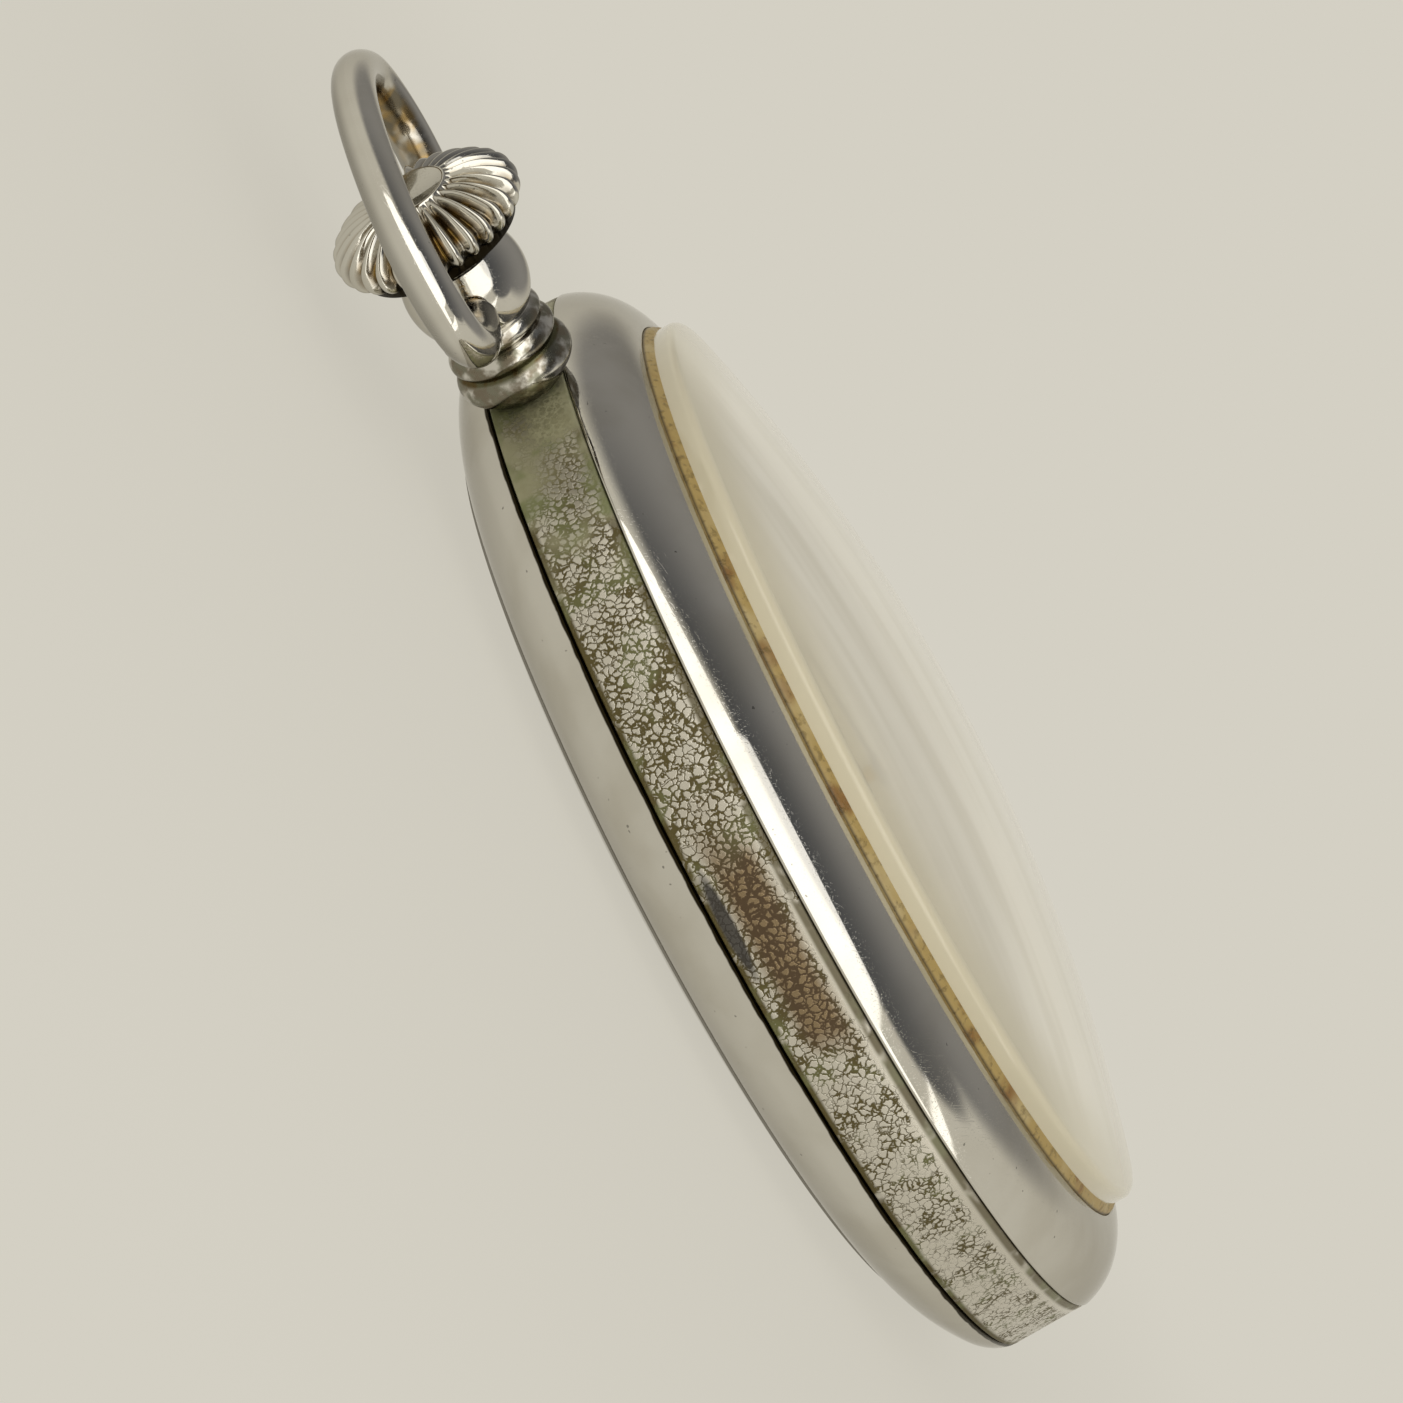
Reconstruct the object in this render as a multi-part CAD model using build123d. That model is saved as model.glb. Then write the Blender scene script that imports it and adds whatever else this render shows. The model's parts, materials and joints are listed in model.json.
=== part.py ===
from build123d import *
import os
from math import atan2, cos, degrees, hypot, pi, radians, sin, sqrt

# Millimetres. +Z is the dial's normal, +Y points at the crown, +X at three o'clock.
# The origin is on the case axis, at the flat land of the back.

# Case outside
CASE_R = 25.0  # band at the back seam
CASE_TOP_R = CASE_R - 0.16  # band at the bezel seam
BACK_SEAM = 3.6  # height of the underside of the band
BEZEL_SEAM = 7.0  # height of the top of the band
SEAM_CHAMFER = 0.12
SEAM_GAP = 0.05
LAND_R = CASE_R - 10.0  # flat land that the watch rests on
BACK_WALL = 0.6
BEZEL_TOP = BEZEL_SEAM + 2.76
BEZEL_MID = (CASE_R - 1.1, BEZEL_SEAM + 1.75)  # point on the bezel's rounded shoulder
GLASS_SEAT = BEZEL_SEAM + 1.9
CEMENT = 0.3  # width of the cement between glass and bezel
GLASS_SHOULDER = GLASS_SEAT + 1.85
GLASS_TOP = GLASS_SHOULDER + 3.15
GLASS_WALL = 1.1

# Press fits of the case
SNAP_GAP = 0.03
BACK_SPIGOT_R = CASE_R - 0.78
BACK_SPIGOT_H = 0.65
BEZEL_SPIGOT_R = CASE_R - 1.0
BEZEL_SPIGOT_H = 0.75
SPIGOT_WALL = 0.85
SEAT = 0.1  # radial room round the plate and the dial
GLASS_SEAT_R = BEZEL_SPIGOT_R - 2.2

# Movement layers
DIAL_R = BEZEL_SPIGOT_R - SPIGOT_WALL - SEAT - 0.05
DIAL_Z = BEZEL_SEAM + 0.2
DIAL_T = 0.4
PLATE_R = DIAL_R - 1.5
PLATE_Z = 5.8
LEDGE_R = PLATE_R - 1.1
BRIDGE_R = LEDGE_R - 0.2
BRIDGE_Z = 2.9
BRIDGE_TOP = 3.7
POCKET_Z = 6.3  # floor of the minute work's pockets
DRUM_Z, DRUM_TOP = 3.85, 5.1
RATCHET_Z, RATCHET_TOP = 2.35, 2.75
COCK_Z, COCK_TOP = 1.9, 2.6
WHEEL_Z, WHEEL_TOP = 2.95, 3.35
SWEEP_Z, MINUTE_HAND_Z = DIAL_Z + 1.3, DIAL_Z + 0.75
FIT = 0.03  # radial running fit of pivots and shafts

# Pendant: its turned rings as rise above the foot and radius, then the ball
STEM_Z = 5.5
STEM_R = 0.55
STUB_R = 1.4
STUB_END = CASE_R - 1.4
COLLAR_BORE = 1.3
PENDANT_BORE = 1.05
PENDANT_FOOT = CASE_R + 0.03
NECK_R = 1.75
NECK_RINGS = ((0.47, 2.25), (1.17, 2.58), (1.87, 2.2), (2.3, 2.4), (2.8, 2.0), (3.2, 2.25), (3.57, 2.05))
BALL_R = 2.7
BALL_Y = PENDANT_FOOT + 5.37
BALL_TOP = BALL_Y + 1.5

# Crown: its fluted side as rise above the flutes' foot, ridge radius and flute depth
PUSH = 0.5  # travel of the crown when it is pressed
CROWN_FOOT = BALL_TOP + 0.55
SKIRT_R = 3.45
SKIRT_H = 0.4
CUP_R = SKIRT_R - 0.5
CUP_DEPTH = 0.7
CROWN_SIDE = ((0.0, 3.6, 0.15), (0.22, 3.92, 0.34), (0.52, 4.13, 0.4), (0.85, 4.2, 0.42),
              (1.2, 4.08, 0.42), (1.52, 3.74, 0.4), (1.88, 2.95, 0.34), (2.25, 1.9, 0.16))
CROWN_DISC_R = 1.65
FLUTES = 30
CROWN_TUBE_END = BALL_Y - 1.1
SLEEVE_END = CROWN_TUBE_END - PUSH - 0.2
STEM_TOP = CROWN_FOOT + 2.05

# Bow
BOW_Y = BALL_Y - 0.25  # hinge of the bow
BOW_WIRE_R = 0.92
BOW_PIN_R = 0.7
BOW_PIN_IN = BALL_R - 1.2  # where the bow's pins end inside the ball
BOW_ROOM = 0.13  # between the ball and the ends of the wire
BOW_START = BALL_R + 0.65  # where the wire's first bend starts
BOW_BENDS = ((7.0, 45), (3.08, 45), (3.59, 60))  # radius and turn of each bend up one side

# Train: teeth, modules and arbors
ARBOR_R = 0.35
MINUTE_ARBOR_R = 0.3
BARREL_ARBOR_R = 0.8
OPERATING_R = 0.4
PIVOT_R = 0.2
JEWEL_R = 0.6
STUD_R = 0.5
BARREL_TEETH, SECOND_PINION_TEETH = 78, 12
SECOND_TEETH, THIRD_PINION_TEETH = 75, 10
THIRD_TEETH, SECONDS_PINION_TEETH = 80, 10
SECONDS_TEETH, ESCAPE_PINION_TEETH = 80, 8
MINUTE_DRIVE_TEETH, IDLER_TEETH = 8, 48
IDLER_PINION_TEETH, MINUTE_TEETH = 10, 50
WINDING_TEETH, FACE_TEETH, CROWN_TEETH, RATCHET_TEETH = 12, 22, 40, 60
M_BARREL, M_SECOND, M_THIRD, M_ESCAPE = 0.18, 0.16, 0.14, 0.13
M_MINUTE, M_WINDING, M_RATCHET = 0.12, 0.2167, 0.2


def polar(r, direction, origin=(0, 0)):
    """The point r from the origin, in the given direction in degrees."""
    a = radians(direction)
    return origin[0] + r * cos(a), origin[1] + r * sin(a)


def aim(a, b):
    """Direction from a to b in radians."""
    return atan2(b[1] - a[1], b[0] - a[0])


def reach(a, b, from_a, from_b, side):
    """The point at the two given distances from a and b, on the given side of the line."""
    gap = hypot(b[0] - a[0], b[1] - a[1])
    along = (from_a**2 - from_b**2 + gap**2) / (2 * gap)
    off = side * sqrt(from_a**2 - along**2)
    ux, uy = (b[0] - a[0]) / gap, (b[1] - a[1]) / gap
    return a[0] + along * ux - off * uy, a[1] + along * uy + off * ux


def mesh_distance(module, n, m):
    return module * (n + m) / 2


# Where the arbors stand
SECONDS = (0.0, 0.0)
BARREL = polar(12.6, 135)
THIRD = polar(mesh_distance(M_THIRD, THIRD_TEETH, SECONDS_PINION_TEETH), 215)
SECOND = reach(BARREL, THIRD, mesh_distance(M_BARREL, BARREL_TEETH, SECOND_PINION_TEETH),
               mesh_distance(M_SECOND, SECOND_TEETH, THIRD_PINION_TEETH), -1)
ESCAPE = polar(mesh_distance(M_ESCAPE, SECONDS_TEETH, ESCAPE_PINION_TEETH), -40)
PALLET = polar(3.3, -40, ESCAPE)
BALANCE = polar(4.2, -40, PALLET)
MINUTE = (0.0, 6.6)
IDLER = reach(SECONDS, MINUTE, mesh_distance(M_MINUTE, MINUTE_DRIVE_TEETH, IDLER_TEETH),
              mesh_distance(M_MINUTE, IDLER_PINION_TEETH, MINUTE_TEETH), -1)
CROWN_WHEEL = (0.0, BARREL[1] + sqrt(mesh_distance(M_RATCHET, RATCHET_TEETH, CROWN_TEETH) ** 2
                                     - BARREL[0] ** 2))
FACE_R = M_WINDING * FACE_TEETH / 2  # contrate teeth under the crown wheel
COLUMN = (10.2, 10.9)
HAMMER = (5.5, 10.5)
OPERATING = (14.5, 9.5)
BRAKE = (8.2, 0.6)
CLICK = polar(7.4, 200, BARREL)

PINION_L = 1.4
PINION_Y = CROWN_WHEEL[1] + FACE_R + PUSH / 2 - PINION_L / 2
STEM_END = PINION_Y - 0.45

# Wheels that the levers stay clear of
ESCAPE_R = 2.6
BALANCE_R = 4.7
COLUMN_R = 1.7
COLUMN_TEETH_R = 2.0
HEART_R = 1.5
MINUTE_HEART_R = 1.0
LEVER_Z, LEVER_TOP = 1.8, 2.2
STONE_GAP = 0.22  # between a pallet stone and the escape teeth in the middle of the swing

# Screws
SCREW_R = 0.45
SCREW_HEAD_R = 0.9
SCREW_END = PLATE_Z - 0.3
CASE_SCREW_R = 0.35
PILLAR_R = 1.1
PILLAR_CIRCLE = BRIDGE_R - 1.4
BARREL_PILLARS = [polar(PILLAR_CIRCLE, a) for a in (165, 105)]
TRAIN_PILLARS = [polar(PILLAR_CIRCLE, a) for a in (200, 265)]
WORKS_PILLARS = [polar(PILLAR_CIRCLE, a) for a in (60, 5)]
COCK_PILLAR = polar(PILLAR_CIRCLE + 0.3, -40)
PALLET_PILLARS = [polar(4.3, 227, PALLET), polar(4.0, 42, PALLET)]
CASE_SCREWS = [polar((PLATE_R + LEDGE_R) / 2, a) for a in (30, 150, 270)]
DIAL_FEET = [polar(17.5, a) for a in (140, 320)]


# ---- shapes ----------------------------------------------------------------------------
def disc(r, z0, z1, at=(0, 0)):
    return Pos(at[0], at[1], (z0 + z1) / 2) * Cylinder(r, z1 - z0)


def ring(outer, inner, z0, z1, at=(0, 0)):
    return disc(outer, z0, z1, at) - disc(inner, z0 - 1, z1 + 1, at)


def rod(r, y0, y1, x=0.0):
    """A round bar parallel to the stem."""
    return Pos(x, (y0 + y1) / 2, STEM_Z) * Rot(90, 0, 0) * Cylinder(r, y1 - y0)


def bar(a, b, width, z0, z1):
    """A flat link with round ends."""
    length = hypot(b[0] - a[0], b[1] - a[1])
    middle = Pos((a[0] + b[0]) / 2, (a[1] + b[1]) / 2, z0)
    return extrude(middle * Rot(0, 0, degrees(aim(a, b))) * SlotCenterToCenter(length, width), z1 - z0)


def lever(points, width, z0, z1):
    """A bent flat lever through the points."""
    shape = bar(points[0], points[1], width, z0, z1)
    for a, b in zip(points[1:], points[2:]):
        shape += bar(a, b, width, z0, z1)
    return shape


def slab(points, z0, z1):
    """A flat plate with the given outline."""
    return extrude(Pos(0, 0, z0) * make_face(Polyline(*points, close=True)), z1 - z0)


def turned(edges):
    """A solid turned about the case axis from edges given in the XZ plane."""
    return revolve(make_face(edges), Axis.Z)


def rz(*points):
    """An open chain of straight edges through points given as radius and height."""
    return Polyline(*[(r, 0, z) for r, z in points])


def turned_about_stem(edges):
    """A solid turned about the stem from edges given as radius and y."""
    return revolve(make_face(edges), Axis((0, 0, STEM_Z), (0, 1, 0)))


def ry(*points):
    return Polyline(*[(r, y, STEM_Z) for r, y in points])


def toothed(n, module, z0, z1, at, toward, gap=False, blunt=False):
    """A wheel of n teeth with a tooth, or a gap, facing the direction toward."""
    r, step = module * n / 2, 2 * pi / n
    tip, root = r + 0.9 * module, r - 1.1 * module
    half = [(root, -0.27), (tip, -0.07), (tip, 0.07), (root, 0.27)] if blunt else [
        (root, -0.28), (tip, 0.0), (root, 0.28)]
    start = toward + (step / 2 if gap else 0)
    points = [(at[0] + q * cos(start + (k + s) * step), at[1] + q * sin(start + (k + s) * step))
              for k in range(n) for q, s in half]
    return slab(points, z0, z1)


def ratchet(n, tip, root, z0, z1, at, lean=0.45):
    """A wheel of n hooked teeth."""
    step = 2 * pi / n
    points = []
    for k in range(n):
        for q, s in ((tip, 0.0), (root, 0.12), (root, lean)):
            points.append((at[0] + q * cos((k + s) * step), at[1] + q * sin((k + s) * step)))
    return slab(points, z0, z1)


def staff(at, low=BRIDGE_TOP + 0.05, high=PLATE_Z - 0.05):
    """An arbor with a pivot at each end."""
    return disc(ARBOR_R, low, high, at) + disc(PIVOT_R, low - 0.55, high + 0.55, at)


def screw(at, head_z, end_z, head_h=0.45):
    """A screw whose head lies on the back side, at head_z and below it."""
    return disc(SCREW_HEAD_R, head_z - head_h, head_z, at) + disc(SCREW_R, head_z, end_z, at)


def spiral(at, inner, pitch, half_turns, width, z0, z1):
    """A flat coiled spring made of half circles."""
    edges = []
    for k in range(half_turns):
        r = inner + k * pitch / 2
        centre = at[0] + (pitch / 4 if k % 2 else -pitch / 4)
        side = 1 if k % 2 == 0 else -1
        edges.append(CenterArc((centre, at[1]), r, 0 if side > 0 else 180, 180))
    faces = [trace(edge, width) for edge in edges]
    shape = faces[0]
    for face in faces[1:]:
        shape += face
    return extrude(Pos(0, 0, z0) * shape, z1 - z0)


def heart(at, r, z0, z1):
    """A return cam: widest on one side, with a dip opposite."""
    low = 0.42 * r
    points = []
    for k in range(24):
        a = k / 24 * 2 * pi
        q = low + (r - low) * (1 - abs(a - pi) / pi)
        points.append((at[0] + q * cos(a), at[1] + q * sin(a)))
    return slab(points, z0, z1)


# ---- case ------------------------------------------------------------------------------
def case_middle():
    low, high = BACK_SEAM, BEZEL_SEAM
    body = turned(rz(
        (BACK_SPIGOT_R, low - BACK_SPIGOT_H), (BACK_SPIGOT_R, low),
        (CASE_R - SEAM_CHAMFER, low), (CASE_R, low + SEAM_CHAMFER),
        (CASE_TOP_R, high - SEAM_CHAMFER), (CASE_TOP_R - SEAM_CHAMFER, high),
        (BEZEL_SPIGOT_R, high), (BEZEL_SPIGOT_R, high + BEZEL_SPIGOT_H),
        (DIAL_R + SEAT, high + BEZEL_SPIGOT_H), (DIAL_R + SEAT, DIAL_Z),
        (PLATE_R + SEAT, DIAL_Z), (PLATE_R + SEAT, PLATE_Z), (LEDGE_R, PLATE_Z),
        (LEDGE_R, low + 0.6), (BACK_SPIGOT_R - SPIGOT_WALL, low + 0.6),
        (BACK_SPIGOT_R - SPIGOT_WALL, low - BACK_SPIGOT_H),
        (BACK_SPIGOT_R, low - BACK_SPIGOT_H)))
    body -= rod(STUB_R, STUB_END, CASE_R + 1) + rod(COLLAR_BORE, LEDGE_R - 1.5, STUB_END + 0.01)
    for at in CASE_SCREWS:
        body -= disc(CASE_SCREW_R, PLATE_Z - 1.2, PLATE_Z + 0.1, at)
    return body


def back_cover():
    rim = BACK_SEAM - SEAM_GAP
    step = BACK_SEAM - BACK_SPIGOT_H - 0.1
    bore = BACK_SPIGOT_R + SNAP_GAP
    wide, tall = CASE_R - LAND_R, BACK_SEAM
    inner_wide, inner_tall = wide - BACK_WALL, tall - BACK_WALL
    lip = rim - SEAM_CHAMFER
    angle = degrees(atan2(-(tall - lip) / tall, sqrt(1 - ((tall - lip) / tall) ** 2)))
    outer = EllipticalCenterArc((LAND_R, BACK_SEAM), wide, tall, 270, arc_size=90 + angle)
    inner_angle = degrees(atan2(-(BACK_SEAM - step) / inner_tall,
                                sqrt(1 - ((BACK_SEAM - step) / inner_tall) ** 2)))
    inner = EllipticalCenterArc((LAND_R, BACK_SEAM), inner_wide, inner_tall, 270,
                                arc_size=90 + inner_angle)
    out_end, in_end = outer @ 1, inner @ 1
    edges = outer + Polyline((out_end.X, out_end.Y), (CASE_R - 2 * SEAM_CHAMFER, rim), (bore, rim),
                             (bore, step), (in_end.X, in_end.Y)) + inner
    edges += Polyline((LAND_R, BACK_WALL), (0, BACK_WALL), (0, 0), (LAND_R, 0))
    return revolve(Rot(90, 0, 0) * make_face(edges), Axis.Z)


def bezel():
    foot = BEZEL_SEAM + SEAM_GAP
    bore = BEZEL_SPIGOT_R + SNAP_GAP
    shelf = BEZEL_SEAM + BEZEL_SPIGOT_H + 0.1
    lip_r = GLASS_SEAT_R - 0.9
    edges = rz((bore, shelf), (bore, foot), (CASE_TOP_R - SEAM_CHAMFER, foot),
               (CASE_TOP_R, foot + SEAM_CHAMFER))
    edges += ThreePointArc((CASE_TOP_R, 0, foot + SEAM_CHAMFER), (BEZEL_MID[0], 0, BEZEL_MID[1]),
                           (GLASS_SEAT_R, 0, BEZEL_TOP))
    edges += rz((GLASS_SEAT_R, BEZEL_TOP), (GLASS_SEAT_R, GLASS_SEAT), (lip_r, GLASS_SEAT),
                (lip_r, GLASS_SEAT - 0.5), (bore - 1.5, shelf), (bore, shelf))
    return turned(edges)


def crystal():
    r = GLASS_SEAT_R - CEMENT
    inner = r - GLASS_WALL
    edges = rz((r, GLASS_SEAT), (r, GLASS_SHOULDER))
    dome_r = r - 0.25
    edges += rz((r, GLASS_SHOULDER), (dome_r, GLASS_SHOULDER + 0.3))
    edges += dome(dome_r, GLASS_SHOULDER + 0.3, GLASS_TOP)
    edges += rz((0, GLASS_TOP), (0, GLASS_TOP - GLASS_WALL))
    edges += dome(inner, GLASS_SHOULDER - GLASS_WALL + 0.35, GLASS_TOP - GLASS_WALL)
    edges += rz((inner, GLASS_SHOULDER - GLASS_WALL + 0.35), (inner, GLASS_SEAT), (r, GLASS_SEAT))
    return turned(edges)


def dome(r, edge_z, top_z):
    """The arc of a shallow dome from its rim to its top."""
    rise = top_z - edge_z
    radius = (r * r + rise * rise) / (2 * rise)
    middle_r = r / 2
    middle_z = top_z - radius + sqrt(radius**2 - middle_r**2)
    return ThreePointArc((r, 0, edge_z), (middle_r, 0, middle_z), (0, 0, top_z))


def crystal_cement():
    inner = GLASS_SEAT_R - CEMENT
    return turned(rz((inner, GLASS_SEAT), (GLASS_SEAT_R, GLASS_SEAT), (GLASS_SEAT_R, BEZEL_TOP),
                     (inner, BEZEL_TOP + 0.4), (inner, GLASS_SEAT)))


# ---- pendant, crown and bow ------------------------------------------------------------
def pendant():
    rings = [(r, PENDANT_FOOT + rise) for rise, r in NECK_RINGS]
    ball_foot, ball_top = rings[-1][1], sqrt(BALL_R**2 - (BALL_TOP - BALL_Y) ** 2)
    edges = ry((PENDANT_BORE, STUB_END), (STUB_R, STUB_END), (STUB_R, PENDANT_FOOT),
               (NECK_R, PENDANT_FOOT + 0.03), rings[0])
    for k in range(0, len(rings) - 2, 2):
        edges += arc_y(*rings[k:k + 3])
    edges += ry(rings[-1], (rings[-1][0], ball_foot + 0.05))
    edges += arc_y((rings[-1][0], ball_foot + 0.05), (BALL_R, BALL_Y), (ball_top, BALL_TOP))
    edges += ry((ball_top, BALL_TOP), (ball_top - 0.3, BALL_TOP), (PENDANT_BORE, BALL_TOP - 0.5),
                (PENDANT_BORE, STUB_END))
    body = turned_about_stem(edges)
    for side in (-1, 1):
        x = side * (BOW_PIN_IN + BALL_R + 0.5) / 2
        body -= Pos(x, BOW_Y, STEM_Z) * Rot(0, 90, 0) * Cylinder(BOW_PIN_R + FIT, BALL_R + 0.6 - BOW_PIN_IN)
    return body


def arc_y(a, b, c):
    return ThreePointArc(*[(r, y, STEM_Z) for r, y in (a, b, c)])


def pendant_sleeve():
    tube = rod(PENDANT_BORE - 0.02, STUB_END + 0.2, SLEEVE_END) - rod(STEM_R + FIT, STUB_END, SLEEVE_END + 1)
    slits = [Pos(0, STUB_END + 1.3, STEM_Z) * Rot(0, a, 0) * Box(0.2, 2.0, 4) for a in (0, 90)]
    return tube - slits


def fluted_section(rise, ridge_r, depth):
    """A star with one ridge and one groove for each flute."""
    y = CROWN_FOOT + SKIRT_H + rise
    points = []
    for k in range(2 * FLUTES):
        r, a = ridge_r - (depth if k % 2 else 0), k * pi / FLUTES
        points.append((r * cos(a), y, STEM_Z + r * sin(a)))
    return make_face(Polyline(*points, close=True))


def crown():
    body = loft([fluted_section(*level) for level in CROWN_SIDE], ruled=True)
    top = CROWN_FOOT + SKIRT_H + CROWN_SIDE[-1][0]
    body += rod(SKIRT_R, CROWN_FOOT, CROWN_FOOT + SKIRT_H + 0.1)
    body += rod(CROWN_DISC_R, top - 0.1, top + 0.1) - rod(CROWN_DISC_R - 0.2, top + 0.05, top + 1)
    body -= rod(CUP_R, CROWN_FOOT - 1, CROWN_FOOT + CUP_DEPTH)
    body += rod(PENDANT_BORE - FIT - 0.02, CROWN_TUBE_END, CROWN_FOOT + CUP_DEPTH + 0.1)
    return body - rod(STEM_R, CROWN_TUBE_END - 1, STEM_TOP)


def winding_stem():
    square = Pos(0, STEM_END + 0.5, STEM_Z) * Box(0.7, 1.0, 0.7)
    return rod(STEM_R, STEM_END + 0.6, STEM_TOP) + square


def winding_pinion():
    step = 2 * pi / WINDING_TEETH
    r = M_WINDING * WINDING_TEETH / 2
    points = []
    for k in range(WINDING_TEETH):
        for q, s in ((r - 0.3, -0.25), (r + 0.12, -0.14), (r + 0.12, 0.14), (r - 0.3, 0.25)):
            a = -pi / 2 + (k + s) * step
            points.append((q * cos(a), STEM_Z + q * sin(a)))
    face = make_face(Polyline(*[(x, 0, z) for x, z in points], close=True))
    body = extrude(face, PINION_L, dir=(0, 1, 0))
    return Pos(0, PINION_Y, 0) * body - rod(STEM_R, PINION_Y - 1, PINION_Y + PINION_L + 1)


def stem_collar():
    return rod(COLLAR_BORE - 0.1, STUB_END - 0.7, STUB_END - 0.3) - rod(STEM_R + FIT, STUB_END - 1, STUB_END)


def bow():
    end_x = BALL_R + BOW_ROOM
    path = [Line((end_x, BOW_Y), (BOW_START, BOW_Y))]
    start, heading = (BOW_START, BOW_Y), 0
    for radius, turn in BOW_BENDS:
        path.append(JernArc(start, polar(1, heading), radius, turn))
        end = path[-1] @ 1
        start, heading = (end.X, end.Y), heading + turn
    rest = 180 - heading
    path.append(JernArc(start, polar(1, heading), start[0] / sin(radians(rest)), rest))
    wire = Wire([edge for arc in path for edge in arc.edges()])
    half = sweep(Plane(origin=(end_x, BOW_Y, 0), z_dir=(1, 0, 0)) * Circle(BOW_WIRE_R), path=wire)
    length = end_x + 0.1 - BOW_PIN_IN - 0.05
    half += Pos(end_x + 0.1 - length / 2, BOW_Y, 0) * Rot(0, 90, 0) * Cylinder(BOW_PIN_R, length)
    return Pos(0, 0, STEM_Z) * (half + mirror(half, about=Plane.YZ))


# ---- movement plates -------------------------------------------------------------------
def mainplate():
    body = disc(PLATE_R, PLATE_Z, DIAL_Z)
    pocket = disc(1.0, POCKET_Z, DIAL_Z + 1) + disc(3.25, POCKET_Z, DIAL_Z + 1, IDLER)
    body -= pocket + disc(3.4, POCKET_Z, DIAL_Z + 1, MINUTE)
    body += disc(0.3, POCKET_Z - 0.05, POCKET_Z + 0.75, IDLER)
    body -= disc(ARBOR_R + FIT, PLATE_Z - 1, DIAL_Z + 1)
    body -= disc(ARBOR_R + FIT, PLATE_Z - 1, DIAL_Z + 1, MINUTE)
    for at in (SECOND, THIRD, ESCAPE, PALLET, BALANCE):
        body -= disc(JEWEL_R, PLATE_Z - 1, PLATE_Z + 0.7, at)
    body -= disc(BARREL_ARBOR_R - 0.3 + FIT, PLATE_Z - 1, PLATE_Z + 0.8, BARREL)
    body -= disc(0.5, PLATE_Z - 1, PLATE_Z + 0.8, CROWN_WHEEL)
    body -= disc(0.4 + FIT, PLATE_Z - 1, PLATE_Z + 0.5, OPERATING)
    for at in CASE_SCREWS:
        body -= disc(CASE_SCREW_R, PLATE_Z - 1, DIAL_Z + 1, at) + disc(0.5, DIAL_Z - 0.5, DIAL_Z + 1, at)
    for at in DIAL_FEET:
        body -= disc(0.4, PLATE_Z - 1, DIAL_Z + 1, at)
    body -= rod(STEM_R + 0.1, STEM_END - PUSH - 0.3, PLATE_R + 1)
    room = M_WINDING * WINDING_TEETH / 2 + 0.35
    y0, y1 = PINION_Y - PUSH - 0.3, PINION_Y + PINION_L + 0.3
    return body - Pos(0, (y0 + y1) / 2, DIAL_Z - 0.8) * Box(2 * room, y1 - y0, 4)


def bridge_blank(outline):
    return slab(outline, BRIDGE_Z, BRIDGE_TOP) & disc(BRIDGE_R, BRIDGE_Z, BRIDGE_TOP)


def stand_on(body, pillars, top=BRIDGE_TOP, low=BRIDGE_Z):
    """Adds pillars that reach the plate, drilled for their screws."""
    for at in pillars:
        body += disc(PILLAR_R, top - 0.1, PLATE_Z, at)
    for at in pillars:
        body -= disc(SCREW_R, low - 1, SCREW_END, at)
    return body


def barrel_bridge():
    body = bridge_blank([(-21, 2.8), (3.6, 2.8), (3.6, 21), (-21, 21)])
    body = stand_on(body, BARREL_PILLARS)
    body -= disc(BARREL_ARBOR_R + FIT, 2, 5, BARREL)
    body -= disc(FACE_R + 0.75, 2, 5, CROWN_WHEEL) + disc(MINUTE_ARBOR_R + FIT, 2, 5, MINUTE)
    return body - disc(SCREW_R, 2, 5, CLICK)


def train_bridge():
    body = bridge_blank([(-21, 2.5), (6.0, 2.5), (6.0, -21), (-21, -21)])
    body = stand_on(body, TRAIN_PILLARS)
    body -= disc(BALANCE_R + 0.4, 2, 5, BALANCE) + disc(1.0, 2, 5, PALLET_PILLARS[0])
    for at in (SECOND, THIRD, ESCAPE):
        body -= disc(JEWEL_R, 2, 5, at)
    return body - disc(ARBOR_R + FIT, 2, 5)


def works_bridge():
    outline = [(3.9, 21), (3.9, 2.8), (6.3, 2.8), (6.3, -1.2), (21, -1.2), (21, 21)]
    body = stand_on(bridge_blank(outline), WORKS_PILLARS)
    body -= disc(OPERATING_R + FIT, 2, 5, OPERATING)
    for at in (COLUMN, HAMMER, BRAKE):
        body -= disc(SCREW_R, 2, 5, at)
    return body


def balance_cock():
    body = bar(COCK_PILLAR, BALANCE, 2.4, COCK_Z, COCK_TOP)
    body += disc(0.9, COCK_Z, PLATE_Z, COCK_PILLAR)
    return body - disc(SCREW_R, 1, SCREW_END, COCK_PILLAR) - disc(JEWEL_R, 1, 3, BALANCE)


def pallet_bridge():
    body = lever([PALLET_PILLARS[0], PALLET, PALLET_PILLARS[1]], 1.7, BRIDGE_TOP, BRIDGE_TOP + 0.5)
    for at in PALLET_PILLARS:
        body += disc(0.85, BRIDGE_TOP, PLATE_Z, at)
        body -= disc(SCREW_R, BRIDGE_TOP - 1, SCREW_END, at)
    return body - disc(JEWEL_R, 3, 5, PALLET)


def bridge_screws():
    screws = [screw(at, BRIDGE_Z, SCREW_END) for at in
              BARREL_PILLARS + TRAIN_PILLARS + WORKS_PILLARS]
    screws.append(screw(COCK_PILLAR, COCK_Z, SCREW_END))
    return Compound(screws)


def pallet_screws():
    return Compound([disc(0.7, BRIDGE_TOP - 0.3, BRIDGE_TOP, at)
                     + disc(SCREW_R, BRIDGE_TOP, SCREW_END, at) for at in PALLET_PILLARS])


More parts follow.
